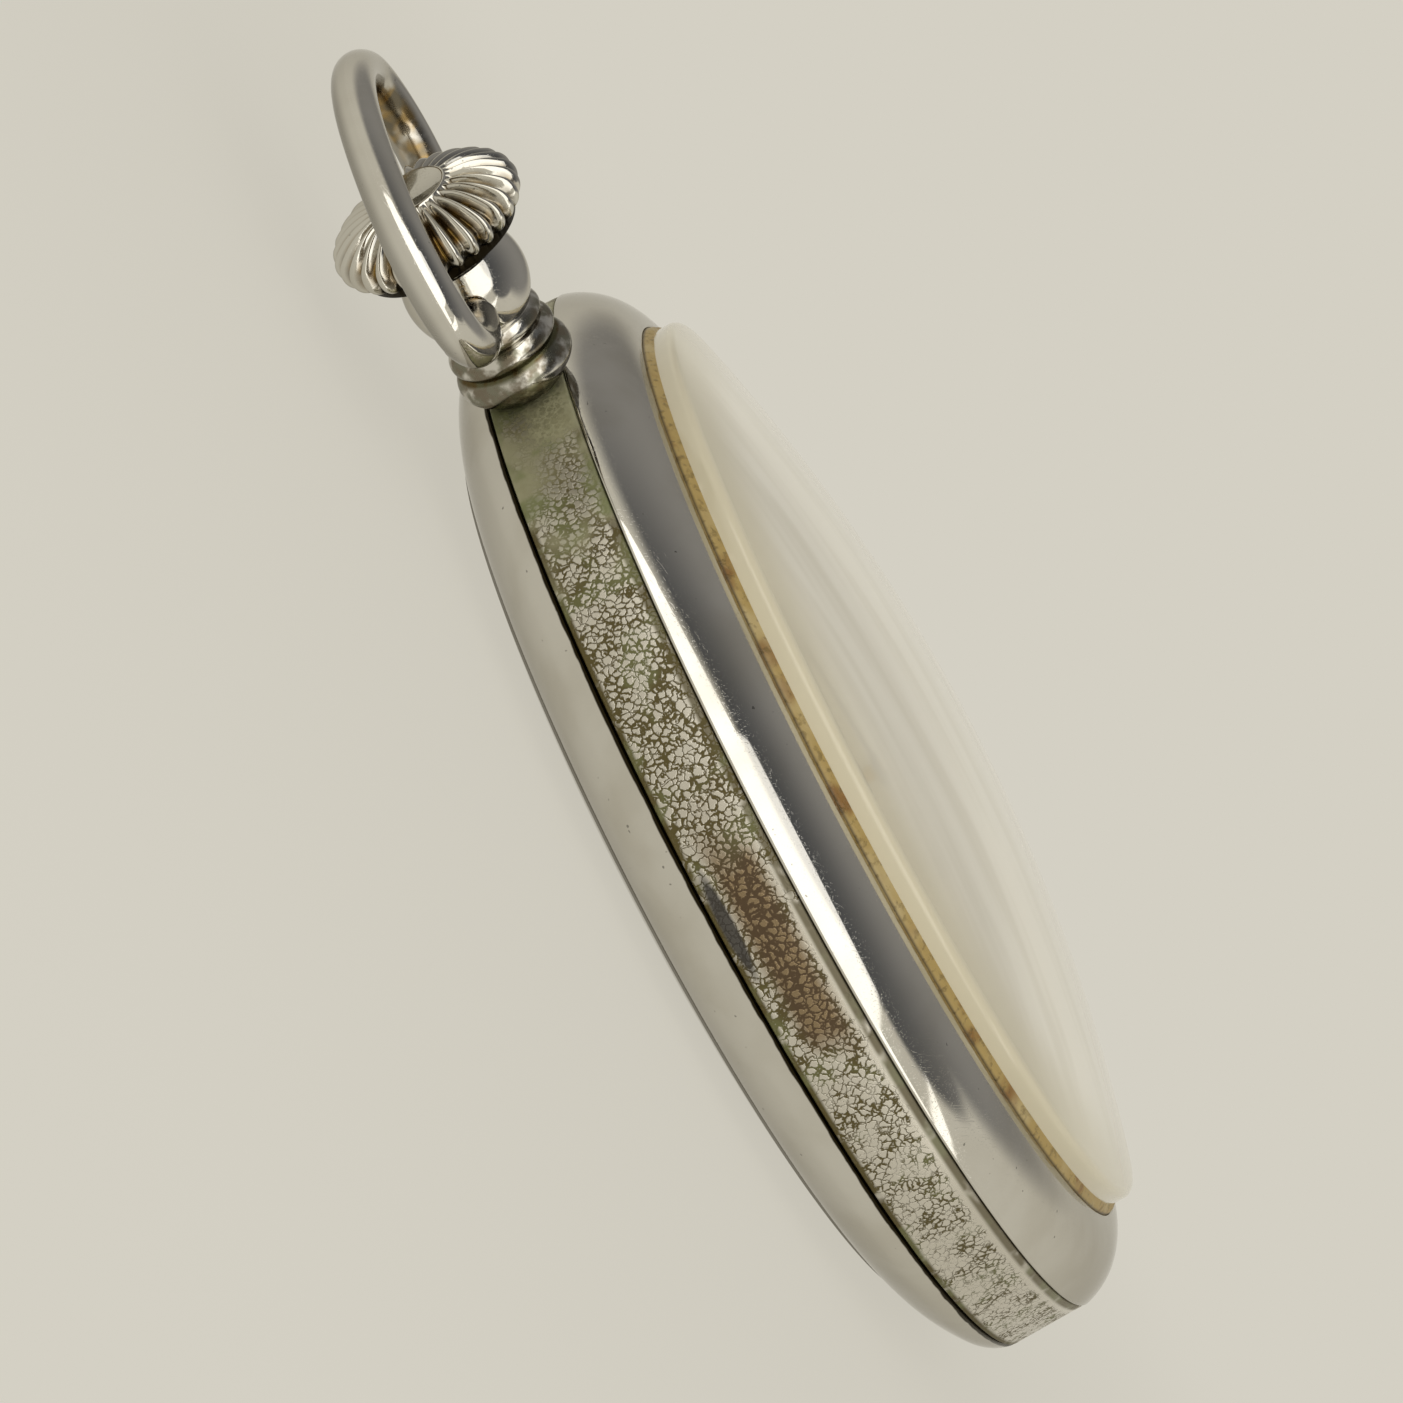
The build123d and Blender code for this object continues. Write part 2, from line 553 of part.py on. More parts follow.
def case_screws():
    return Compound([disc(0.5, DIAL_Z - 0.5, DIAL_Z - 0.05, at)
                     + disc(CASE_SCREW_R, PLATE_Z - 1.15, DIAL_Z - 0.5, at) for at in CASE_SCREWS])


def jewels():
    hole = PIVOT_R + FIT
    stones = [ring(JEWEL_R, hole, BRIDGE_TOP - 0.6, BRIDGE_TOP, at) for at in (SECOND, THIRD, ESCAPE)]
    stones += [ring(JEWEL_R, hole, PLATE_Z, PLATE_Z + 0.6, at)
               for at in (SECOND, THIRD, ESCAPE, PALLET, BALANCE)]
    stones.append(ring(JEWEL_R, hole, BRIDGE_TOP, BRIDGE_TOP + 0.5, PALLET))
    stones.append(ring(JEWEL_R, hole, COCK_Z, COCK_TOP, BALANCE))
    return Compound(stones)


def dial():
    body = disc(DIAL_R, DIAL_Z, DIAL_Z + DIAL_T)
    body -= disc(0.9, DIAL_Z - 1, DIAL_Z + 1) + disc(0.7, DIAL_Z - 1, DIAL_Z + 1, MINUTE)
    for at in DIAL_FEET:
        body += disc(0.4, PLATE_Z + 0.2, DIAL_Z + 0.1, at)
    return body


# ---- going train -----------------------------------------------------------------------
def barrel():
    r = M_BARREL * BARREL_TEETH / 2
    wall_r = r - 0.55
    body = toothed(BARREL_TEETH, M_BARREL, DRUM_Z, DRUM_Z + 0.4, BARREL, aim(BARREL, SECOND))
    body += disc(wall_r, DRUM_Z, DRUM_TOP, BARREL)
    body -= disc(wall_r - 0.35, DRUM_Z + 0.2, DRUM_TOP + 1, BARREL)
    return body - disc(BARREL_ARBOR_R + FIT, 3, 6, BARREL)


def barrel_cover():
    r = M_BARREL * BARREL_TEETH / 2 - 0.9
    return ring(r, BARREL_ARBOR_R + FIT, DRUM_TOP - 0.2, DRUM_TOP, BARREL)


def barrel_arbor():
    body = disc(BARREL_ARBOR_R, RATCHET_Z - 0.2, PLATE_Z - 0.05, BARREL)
    body += disc(1.6, DRUM_Z + 0.25, DRUM_TOP - 0.25, BARREL)
    return body + disc(BARREL_ARBOR_R - 0.3, PLATE_Z - 0.1, PLATE_Z + 0.7, BARREL)


def ratchet_wheel():
    body = toothed(RATCHET_TEETH, M_RATCHET, RATCHET_Z, RATCHET_TOP, BARREL,
                   aim(BARREL, CROWN_WHEEL))
    return body - disc(BARREL_ARBOR_R, 2, 3, BARREL)


def mainspring():
    return spiral(BARREL, 2.2, 0.75, 9, 0.18, DRUM_Z + 0.3, DRUM_TOP - 0.3)


def crown_wheel():
    body = toothed(CROWN_TEETH, M_RATCHET, RATCHET_Z, RATCHET_TOP, CROWN_WHEEL,
                   aim(CROWN_WHEEL, BARREL), gap=True)
    root = STEM_Z - M_WINDING * WINDING_TEETH / 2 - 0.22
    body += ring(FACE_R + 0.35, FACE_R - 0.35, RATCHET_TOP - 0.1, root, CROWN_WHEEL)
    step = 360 / FACE_TEETH
    tooth = Pos(FACE_R, 0, root + 0.12) * Box(0.7, 0.2, 0.34)
    for k in range(FACE_TEETH):
        body += Pos(*CROWN_WHEEL, 0) * Rot(0, 0, 90 + (k + 0.5) * step) * tooth
    return body - disc(STUD_R + FIT, 1, 4, CROWN_WHEEL)


def crown_wheel_stud():
    body = disc(STUD_R, RATCHET_Z - 0.05, PLATE_Z + 0.8, CROWN_WHEEL)
    return body + disc(1.2, RATCHET_Z - 0.35, RATCHET_Z - 0.05, CROWN_WHEEL)


def spoked(body, at, inner, outer, count, z0, z1):
    """Opens tapered windows in a wheel's web and leaves spokes between them."""
    spread = 360 / count
    for k in range(count):
        corners = [(inner, 0.26), (outer, 0.1), (outer, 0.5), (outer, 0.9), (inner, 0.74)]
        window = [polar(r, (k + s) * spread, at) for r, s in corners]
        body -= slab(window, z0 - 0.1, z1 + 0.1)
    return body


def second_wheel():
    body = toothed(SECOND_TEETH, M_SECOND, 5.3, 5.5, SECOND, aim(SECOND, THIRD))
    body = spoked(body, SECOND, 1.4, 5.0, 5, 5.3, 5.5)
    body += toothed(SECOND_PINION_TEETH, M_BARREL, 3.85, 4.4, SECOND, aim(SECOND, BARREL), True, True)
    return body + staff(SECOND)


def third_wheel():
    body = toothed(THIRD_TEETH, M_THIRD, 4.75, 4.95, THIRD, aim(THIRD, SECONDS))
    body = spoked(body, THIRD, 1.3, 4.7, 5, 4.75, 4.95)
    body += toothed(THIRD_PINION_TEETH, M_SECOND, 5.15, 5.65, THIRD, aim(THIRD, SECOND), True, True)
    return body + staff(THIRD)


def seconds_wheel():
    body = toothed(SECONDS_TEETH, M_ESCAPE, 4.1, 4.3, SECONDS, aim(SECONDS, ESCAPE))
    body = spoked(body, SECONDS, 1.3, 4.4, 5, 4.1, 4.3)
    body += toothed(SECONDS_PINION_TEETH, M_THIRD, 4.6, 5.1, SECONDS, aim(SECONDS, THIRD), True, True)
    body += toothed(MINUTE_DRIVE_TEETH, M_MINUTE, 6.65, 6.98, SECONDS, aim(SECONDS, IDLER), False, True)
    return body + disc(ARBOR_R, 1.7, SWEEP_Z + 0.3)


def seconds_heart():
    return heart(SECONDS, HEART_R, LEVER_Z, LEVER_TOP) - disc(ARBOR_R, 1, 3)


def sweep_hand():
    body = slab([(-0.28, -1.2), (0.28, -1.2), (0.1, 19.2), (-0.1, 19.2)], SWEEP_Z, SWEEP_Z + 0.15)
    body += slab([(-0.18, -5.6), (0.18, -5.6), (0.28, -1.0), (-0.28, -1.0)], SWEEP_Z, SWEEP_Z + 0.15)
    body += ring(0.9, 0.4, SWEEP_Z, SWEEP_Z + 0.15, (0, -5.9)) + disc(0.8, SWEEP_Z - 0.15, SWEEP_Z + 0.2)
    return body - disc(ARBOR_R, SWEEP_Z - 1, SWEEP_Z + 1)


def minute_idler():
    body = toothed(IDLER_TEETH, M_MINUTE, 6.7, 6.85, IDLER, aim(IDLER, SECONDS), True)
    body += toothed(IDLER_PINION_TEETH, M_MINUTE, 6.38, 6.71, IDLER, aim(IDLER, MINUTE), False, True)
    return body - disc(0.3 + FIT, 5, 8, IDLER)


def minute_wheel():
    body = toothed(MINUTE_TEETH, M_MINUTE, 6.42, 6.57, MINUTE, aim(MINUTE, IDLER), True)
    return body + disc(MINUTE_ARBOR_R, 1.7, MINUTE_HAND_Z + 0.25, MINUTE)


def minute_heart():
    return heart(MINUTE, MINUTE_HEART_R, LEVER_Z, LEVER_TOP) - disc(MINUTE_ARBOR_R, 1, 3, MINUTE)


def minute_hand():
    z0, z1 = MINUTE_HAND_Z, MINUTE_HAND_Z + 0.15
    body = Pos(*MINUTE, 0) * slab([(-0.2, -1.0), (0.2, -1.0), (0.08, 3.4), (-0.08, 3.4)], z0, z1)
    return body + disc(0.5, z0 - 0.1, z1, MINUTE) - disc(MINUTE_ARBOR_R, z0 - 1, z1 + 1, MINUTE)


# ---- escapement ------------------------------------------------------------------------
def escape_wheel():
    body = ratchet(15, ESCAPE_R, 0.76 * ESCAPE_R, 4.78, 4.95, ESCAPE)
    body = spoked(body, ESCAPE, 0.75, 1.7, 4, 4.78, 4.95)
    body += toothed(ESCAPE_PINION_TEETH, M_ESCAPE, 3.95, 4.45, ESCAPE, aim(ESCAPE, SECONDS), True, True)
    return body + staff(ESCAPE)


def pallet_fork():
    z0, z1 = 4.75, 4.95
    tips = [polar(ESCAPE_R + STONE_GAP + 0.75, -40 + s * 36, ESCAPE) for s in (-1, 1)]
    notch = polar(3.45, -40, PALLET)
    body = lever([tips[0], PALLET, tips[1]], 0.45, z0, z1)
    body += bar(PALLET, notch, 0.5, z0, z1)
    horns = Pos(*notch, (z0 + z1) / 2) * Rot(0, 0, -40) * Box(0.6, 0.95, z1 - z0)
    body += horns
    body -= Pos(*polar(3.75, -40, PALLET), 4.8) * Rot(0, 0, -40) * Box(0.95, 0.3, 2)
    return body + staff(PALLET, BRIDGE_TOP + 0.55)


def pallet_stones():
    stones = []
    for s in (-1, 1):
        at = polar(ESCAPE_R + STONE_GAP + 0.33, -40 + s * 36, ESCAPE)
        stones.append(Pos(at[0], at[1], 5.05) * Rot(0, 0, -40 + s * 36) * Box(0.66, 0.3, 0.2))
    return Compound(stones)


def balance_wheel():
    rim = ring(BALANCE_R, BALANCE_R - 0.5, WHEEL_Z, WHEEL_TOP, BALANCE)
    arm = bar(polar(BALANCE_R - 0.3, 50, BALANCE), polar(BALANCE_R - 0.3, 230, BALANCE), 0.6,
              WHEEL_Z + 0.1, WHEEL_TOP - 0.1)
    body = rim + arm + disc(ARBOR_R, COCK_TOP + 0.05, PLATE_Z - 0.05, BALANCE)
    return body + disc(PIVOT_R, COCK_Z + 0.1, PLATE_Z + 0.5, BALANCE)


def roller():
    pin = disc(0.12, 4.5, 4.7, polar(0.72, 140, BALANCE))
    return ring(1.0, ARBOR_R, 4.35, 4.55, BALANCE) + pin


def hairspring():
    return spiral(BALANCE, 0.62, 0.42, 8, 0.1, COCK_TOP + 0.08, WHEEL_Z - 0.08)


def hairspring_stud():
    end = (BALANCE[0] + 0.62 + 7 * 0.21 + 0.105, BALANCE[1])
    return disc(0.28, COCK_Z, WHEEL_Z - 0.05, (end[0] + 0.36, end[1]))


def regulator():
    body = bar(polar(0.9, 140, BALANCE), polar(3.2, 140, BALANCE), 0.4, COCK_Z - 0.25, COCK_Z)
    return body + ring(1.1, 0.35, COCK_Z - 0.25, COCK_Z, BALANCE)


# ---- stopwatch works -------------------------------------------------------------------
def column_wheel():
    body = ratchet(12, COLUMN_TEETH_R, 0.8 * COLUMN_TEETH_R, 2.42, 2.7, COLUMN)
    for k in range(6):
        column = ring(COLUMN_R, 1.0, 1.6, 2.45, COLUMN) & (
            Pos(*COLUMN, 2) * Rot(0, 0, k * 60) * Pos(1.35, 0, 0) * Box(1.0, 0.75, 2))
        body += column
    return body - disc(SCREW_R + FIT, 1, 4, COLUMN)


def work_studs():
    """Shoulder screws that the works turn on."""
    studs = [disc(SCREW_R, 1.5, BRIDGE_TOP - 0.1, COLUMN) + disc(0.8, 1.2, 1.5, COLUMN)]
    for at in (HAMMER, BRAKE):
        studs.append(disc(SCREW_R, LEVER_Z - 0.05, BRIDGE_TOP - 0.1, at)
                     + disc(SCREW_HEAD_R, LEVER_Z - 0.4, LEVER_Z - 0.05, at))
    studs.append(disc(SCREW_R, RATCHET_Z - 0.05, BRIDGE_TOP - 0.1, CLICK)
                 + disc(SCREW_HEAD_R, RATCHET_Z - 0.4, RATCHET_Z - 0.05, CLICK))
    return Compound(studs)


def operating_lever():
    tip = (0.25, STEM_END - 0.05 - 0.22)
    body = lever([OPERATING, (4.0, tip[1] - 0.9), (1.2, tip[1]), tip], 0.44, 4.9, 5.3)
    body += bar(OPERATING, (11.55, 8.75), 0.5, 2.45, 2.65)
    body += disc(0.75, 2.4, BRIDGE_Z - 0.05, OPERATING) + disc(OPERATING_R, 2.4, PLATE_Z + 0.45, OPERATING)
    return body + disc(0.75, 4.85, 5.35, OPERATING)


def pivoted(body, at):
    return body - disc(SCREW_R + FIT, 1, 4, at)


def brake_lever():
    rim = polar(BALANCE_R + 0.05 + 0.3, 62, BALANCE)
    body = lever([(9.65, COLUMN[1] - 2.15), (8.9, 4.5), BRAKE, rim], 0.5, LEVER_Z, LEVER_TOP)
    body += disc(0.85, LEVER_Z, LEVER_TOP, BRAKE) + disc(0.3, LEVER_Z, WHEEL_TOP, rim)
    return pivoted(body, BRAKE)


def reset_hammer():
    beak = polar(2.15, 135, COLUMN)
    minute_face = (MINUTE[0] + MINUTE_HEART_R + 0.1 + 0.25, MINUTE[1])
    seconds_face = (HEART_R + 0.1 + 0.25, 0.2)
    body = lever([beak, HAMMER, (3.4, 7.0), (3.4, 3.0), seconds_face], 0.5, LEVER_Z, LEVER_TOP)
    body += bar((3.4, 7.0), minute_face, 0.5, LEVER_Z, LEVER_TOP)
    body += disc(0.85, LEVER_Z, LEVER_TOP, HAMMER)
    return pivoted(body, HAMMER)


def click():
    tip = polar(M_RATCHET * RATCHET_TEETH / 2 + 0.9 * M_RATCHET + 0.2, 182, BARREL)
    body = bar(CLICK, tip, 0.34, RATCHET_Z, RATCHET_TOP) + disc(0.8, RATCHET_Z, RATCHET_TOP, CLICK)
    return pivoted(body, CLICK)


def click_spring():
    start, end = polar(3.1, 285, CLICK), polar(1.25, 150, CLICK)
    body = lever([start, polar(1.6, 210, CLICK), end], 0.16, RATCHET_Z, RATCHET_TOP)
    return body + disc(0.5, RATCHET_Z, BRIDGE_Z, start)


def hammer_spring():
    body = lever([(8.0, 6.2), (6.3, 3.3), (4.3, 4.2)], 0.18, LEVER_Z, LEVER_TOP)
    return body + disc(0.5, LEVER_Z, BRIDGE_Z, (8.0, 6.2))


def brake_spring():
    body = lever([(13.6, 4.4), (11.4, 6.2), (9.95, 5.6)], 0.18, LEVER_Z, LEVER_TOP)
    return body + disc(0.5, LEVER_Z, BRIDGE_Z, (13.6, 4.4))


NODES = [case_middle, back_cover, bezel, crystal, crystal_cement, pendant, pendant_sleeve, crown,
         winding_stem, winding_pinion, stem_collar, bow, mainplate, barrel_bridge, train_bridge,
         works_bridge, balance_cock, pallet_bridge, bridge_screws, pallet_screws, case_screws,
         jewels, dial, barrel, barrel_cover, barrel_arbor, ratchet_wheel, mainspring, crown_wheel,
         crown_wheel_stud, second_wheel, third_wheel, seconds_wheel, seconds_heart, sweep_hand,
         minute_idler, minute_wheel, minute_heart, minute_hand, escape_wheel, pallet_fork,
         pallet_stones, balance_wheel, roller, hairspring, hairspring_stud, regulator,
         column_wheel, work_studs, operating_lever, brake_lever, reset_hammer, click,
         click_spring, hammer_spring, brake_spring]

os.makedirs("parts", exist_ok=True)
for node in NODES:
    export_step(node(), f"parts/{node.__name__}.step")
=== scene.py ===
"""Mechanical pocket stopwatch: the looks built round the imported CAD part, in metres."""

import cmath
import json
import math

import bmesh
import bpy
from mathutils import Matrix, Quaternion, Vector


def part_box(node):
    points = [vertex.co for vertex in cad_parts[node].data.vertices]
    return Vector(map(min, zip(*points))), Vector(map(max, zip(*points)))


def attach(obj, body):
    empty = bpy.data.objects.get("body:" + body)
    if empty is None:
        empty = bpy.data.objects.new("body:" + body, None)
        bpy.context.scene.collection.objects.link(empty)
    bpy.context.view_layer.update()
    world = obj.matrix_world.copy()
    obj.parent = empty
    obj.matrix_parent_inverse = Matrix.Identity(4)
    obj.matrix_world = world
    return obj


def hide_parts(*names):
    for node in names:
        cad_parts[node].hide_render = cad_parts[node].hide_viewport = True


bl_info = {
    "name": "Pocket stopwatch",
    "version": (1, 0, 0),
    "blender": (4, 5, 0),
    "location": "3D View > Sidebar > Stopwatch",
    "description": "Case, pendant, crown, bow, crystal and dial of a mechanical stopwatch",
    "category": "Object",
}

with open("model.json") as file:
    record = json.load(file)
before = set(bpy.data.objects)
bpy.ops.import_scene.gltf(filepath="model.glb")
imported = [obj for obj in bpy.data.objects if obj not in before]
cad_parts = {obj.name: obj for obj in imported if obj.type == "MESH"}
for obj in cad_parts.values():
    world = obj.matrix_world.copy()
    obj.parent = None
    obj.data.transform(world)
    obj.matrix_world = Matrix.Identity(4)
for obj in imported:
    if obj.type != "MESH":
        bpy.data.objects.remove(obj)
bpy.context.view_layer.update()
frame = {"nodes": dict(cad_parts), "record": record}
MM = 0.001

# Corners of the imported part's boxes, in millimetres
BACK_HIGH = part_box("back_cover")[1] / MM
BAND_LOW, BAND_HIGH = (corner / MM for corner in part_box("case_middle"))
BEZEL_LOW, BEZEL_HIGH = (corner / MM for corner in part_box("bezel"))
GLASS_LOW, GLASS_HIGH = (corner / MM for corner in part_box("crystal"))
CEMENT_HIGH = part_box("crystal_cement")[1] / MM
PENDANT_LOW, PENDANT_HIGH = (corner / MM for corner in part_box("pendant"))
CROWN_LOW, CROWN_HIGH = (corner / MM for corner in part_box("crown"))
DIAL_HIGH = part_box("dial")[1] / MM

CASE_R = BACK_HIGH.x
HALF_GAP = 0.05  # of the seams under and over the band
BACK_SEAM = BACK_HIGH.z + HALF_GAP
BEZEL_SEAM = BEZEL_LOW.z - HALF_GAP
BULGE = 10  # how far in from the band the back begins to round up
STEP_TURN = 38  # degrees round that bulge, where the fine step line runs
BALL_R = PENDANT_HIGH.x
STEM_Z = (CROWN_LOW.z + CROWN_HIGH.z) / 2
HINGE_Y = PENDANT_HIGH.y - 1.75  # the bow's pins in the ball
CROWN_FOOT = CROWN_HIGH.y - 2.75
REGISTER_Y = 6.6  # the minute hand's axis
LOOP_Y = 34.5  # middle of the bow's loop


def linear(code):
    """Scene-linear colour of an sRGB hex code."""
    channels = [int(code[i:i + 2], 16) / 255 for i in (0, 2, 4)]
    return (*[c / 12.92 if c <= 0.04045 else ((c + 0.055) / 1.055) ** 2.4 for c in channels], 1.0)


def bowl(turn):
    """A point of the back's bulge, from the flat land at no turn to the band at 90 degrees."""
    a = math.radians(turn)
    return CASE_R - BULGE + BULGE * math.sin(a), BACK_SEAM * (1 - math.cos(a))


# ---- settings ---------------------------------------------------------------------------
class StopwatchSettings(bpy.types.PropertyGroup):
    """Sizes and colours that a user would change."""

    turn_steps: bpy.props.IntProperty(
        name="Turned steps", description="Steps round each turned piece",
        default=240, min=48, max=480)
    flutes: bpy.props.IntProperty(
        name="Flutes", description="Grooves round the crown", default=30, min=12, max=60)
    flute_depth: bpy.props.FloatProperty(
        name="Flute depth", description="Depth of a groove of the crown", default=0.40 * MM,
        subtype="DISTANCE", unit="LENGTH", precision=5)
    numeral_size: bpy.props.FloatProperty(
        name="Numeral size", description="Height of the seconds numerals", default=2.1 * MM,
        subtype="DISTANCE", unit="LENGTH", precision=5)
    nickel: bpy.props.FloatVectorProperty(
        name="Nickel", description="Colour of the polished nickel plate",
        subtype="COLOR", size=4, default=linear("d9d6ce"), min=0.0, max=1.0)
    corrosion: bpy.props.FloatVectorProperty(
        name="Corrosion", description="Colour of the corroded lines on the band",
        subtype="COLOR", size=4, default=linear("54491f"), min=0.0, max=1.0)
    cement: bpy.props.FloatVectorProperty(
        name="Cement", description="Colour of the crystal's cement",
        subtype="COLOR", size=4, default=linear("a68d52"), min=0.0, max=1.0)
    backdrop: bpy.props.FloatVectorProperty(
        name="Backdrop", description="Colour of floor and backdrop",
        subtype="COLOR", size=4, default=linear("d4d0c4"), min=0.0, max=1.0)


# ---- mesh helpers -----------------------------------------------------------------------
def arc_to(bm, start, through, end, steps):
    """Continues a profile from its last corner along the arc through one point to another."""
    a, b, c = complex(start.co.x, start.co.z), complex(*through), complex(*end)
    w = (c - a) / (b - a)
    centre = a + (b - a) * (w - abs(w) ** 2) / (2j * w.imag)
    angle = cmath.phase((b - centre) / (a - centre)) + cmath.phase((c - centre) / (b - centre))
    done = bmesh.ops.spin(bm, geom=[start], cent=(centre.real, 0, centre.imag), axis=(0, -1, 0),
                          dvec=(0, 0, 0), angle=angle, steps=steps, use_merge=False)
    return next(e for e in done["geom_last"] if isinstance(e, bmesh.types.BMVert))


def draw(bm, path):
    """Draws a profile of radius and height in millimetres. A step of the path is a corner, or
    an arc given as a point to pass, a point to end at and a count of steps."""
    last = None
    for step in path:
        if len(step) == 2:
            corner = bm.verts.new((step[0] * MM, 0, step[1] * MM))
            if last:
                bm.edges.new((last, corner))
            last = corner
        else:
            through, end = [(r * MM, h * MM) for r, h in step[:2]]
            last = arc_to(bm, last, through, end, step[2])


def turned(path, steps):
    """Spins a profile about Z. A profile that starts off the axis is closed first."""
    bm = bmesh.new()
    draw(bm, path)
    ends = [v for v in bm.verts if len(v.link_edges) == 1]
    if path[0][0] > 0:
        bm.edges.new(ends)
    bmesh.ops.spin(bm, geom=bm.verts[:] + bm.edges[:], cent=(0, 0, 0), axis=(0, 0, 1),
                   dvec=(0, 0, 0), angle=2 * math.pi, steps=steps, use_merge=True)
    bmesh.ops.remove_doubles(bm, verts=bm.verts[:], dist=1e-7)
    bmesh.ops.dissolve_degenerate(bm, edges=bm.edges[:], dist=1e-8)
    bmesh.ops.recalc_face_normals(bm, faces=bm.faces[:])
    return bm


def lay_on_stem(bm):
    """Turns a piece made about Z so that its axis is the winding stem's, along +Y."""
    bmesh.ops.rotate(bm, verts=bm.verts[:], cent=(0, 0, 0),
                     matrix=Matrix.Rotation(-math.pi / 2, 3, "X"))
    bmesh.ops.translate(bm, verts=bm.verts[:], vec=(0, 0, STEM_Z * MM))


def make_object(bm, name):
    """Makes an object of the mesh, at the origin, and links it to the scene."""
    mesh = bpy.data.meshes.new(name)
    bm.to_mesh(mesh)
    bm.free()
    made = bpy.data.objects.new(name, mesh)
    bpy.context.scene.collection.objects.link(made)
    return made


def finish_piece(bm, name, material, body, node, sharp=40):
    """Makes the piece, smooth but for edges over the sharp angle in degrees, and ties it to its
    CAD body. It takes the place of the CAD node, where one is named."""
    for face in bm.faces:
        face.smooth = True
    for edge in bm.edges:
        if len(edge.link_faces) == 2 and edge.calc_face_angle(0) > math.radians(sharp):
            edge.smooth = False
    piece = make_object(bm, name)
    piece.data.materials.append(material)
    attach(piece, body)
    if node:
        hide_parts(node)
    return piece


def drill(piece, holes):
    """Cuts round holes out of the piece, each given as a radius and two ends in millimetres."""
    tools = []
    for radius, start, end in holes:
        start, end = Vector(start) * MM, Vector(end) * MM
        bm = bmesh.new()
        bmesh.ops.create_cone(bm, cap_ends=True, segments=64, radius1=radius * MM,
                              radius2=radius * MM, depth=(end - start).length)
        bmesh.ops.rotate(bm, verts=bm.verts[:], cent=(0, 0, 0),
                         matrix=(end - start).to_track_quat("Z", "Y").to_matrix())
        bmesh.ops.translate(bm, verts=bm.verts[:], vec=(start + end) / 2)
        tools.append(make_object(bm, "drill"))
        cut = piece.modifiers.new("cut", "BOOLEAN")
        cut.operation = "DIFFERENCE"
        cut.solver = "EXACT"
        cut.object = tools[-1]
    bpy.context.view_layer.update()
    depsgraph = bpy.context.evaluated_depsgraph_get()
    whole = bpy.data.meshes.new_from_object(piece.evaluated_get(depsgraph))
    piece.modifiers.clear()
    piece.data = whole
    for tool in tools:
        bpy.data.objects.remove(tool)


# ---- materials --------------------------------------------------------------------------
def add(tree, kind, sockets=None, **settings):
    """Adds a node with its settings; each input named or numbered gets a value or a link."""
    node = tree.nodes.new("ShaderNode" + kind)
    for key, value in settings.items():
        setattr(node, key, value)
    live = [socket for socket in node.inputs if socket.enabled]
    for key, value in (sockets or {}).items():
        socket = live[key] if isinstance(key, int) else next(s for s in live if s.name == key)
        if isinstance(value, bpy.types.Node):
            value = next(s for s in value.outputs if s.enabled)
        if isinstance(value, bpy.types.NodeSocket):
            tree.links.new(value, socket)
        else:
            socket.default_value = value
    return node


def new_material(name):
    """An empty material, its node tree and the piece's own coordinates."""
    material = bpy.data.materials.new(name)
    material.use_nodes = True
    tree = material.node_tree
    tree.nodes.clear()
    return material, tree, add(tree, "TexCoord").outputs["Object"]


def patches(tree, where, size, low, high, most=1.0, detail=2.0):
    """Soft-edged patches about size millimetres across, from a noise: 0 under its low level,
    most over its high level."""
    field = add(tree, "TexNoise", {"Vector": where, "Scale": 1 / (size * MM), "Detail": detail})
    return add(tree, "MapRange",
               {"Value": field, "From Min": low, "From Max": high, "To Max": most},
               interpolation_type="SMOOTHSTEP")


def from_axis(tree, where):
    """Distance from the axis of the case."""
    flat = add(tree, "VectorMath", {0: where, 1: (1, 1, 0)}, operation="MULTIPLY")
    return add(tree, "VectorMath", {0: flat}, operation="LENGTH").outputs["Value"]


def hairlines(tree, where, width, length, level=0.66):
    """Hair scratches: noise drawn out along three crossing directions and kept at its crests.
    Real ones are some 0.02 mm wide; they are drawn about three times as wide, so that they show."""
    lines = None
    for turn in ((0.3, 0.2, 0.5), (1.2, 0.6, 2.1), (2.0, 1.4, 0.9)):
        drawn = add(tree, "Mapping",
                    {"Vector": where, "Rotation": turn, "Scale": (length / width, 1, 1)},
                    vector_type="TEXTURE")
        crest = patches(tree, drawn, width, level, level + 0.07, detail=1.0)
        if lines:
            lines = add(tree, "Math", {0: lines, 1: crest}, operation="MAXIMUM")
        else:
            lines = crest
    return lines


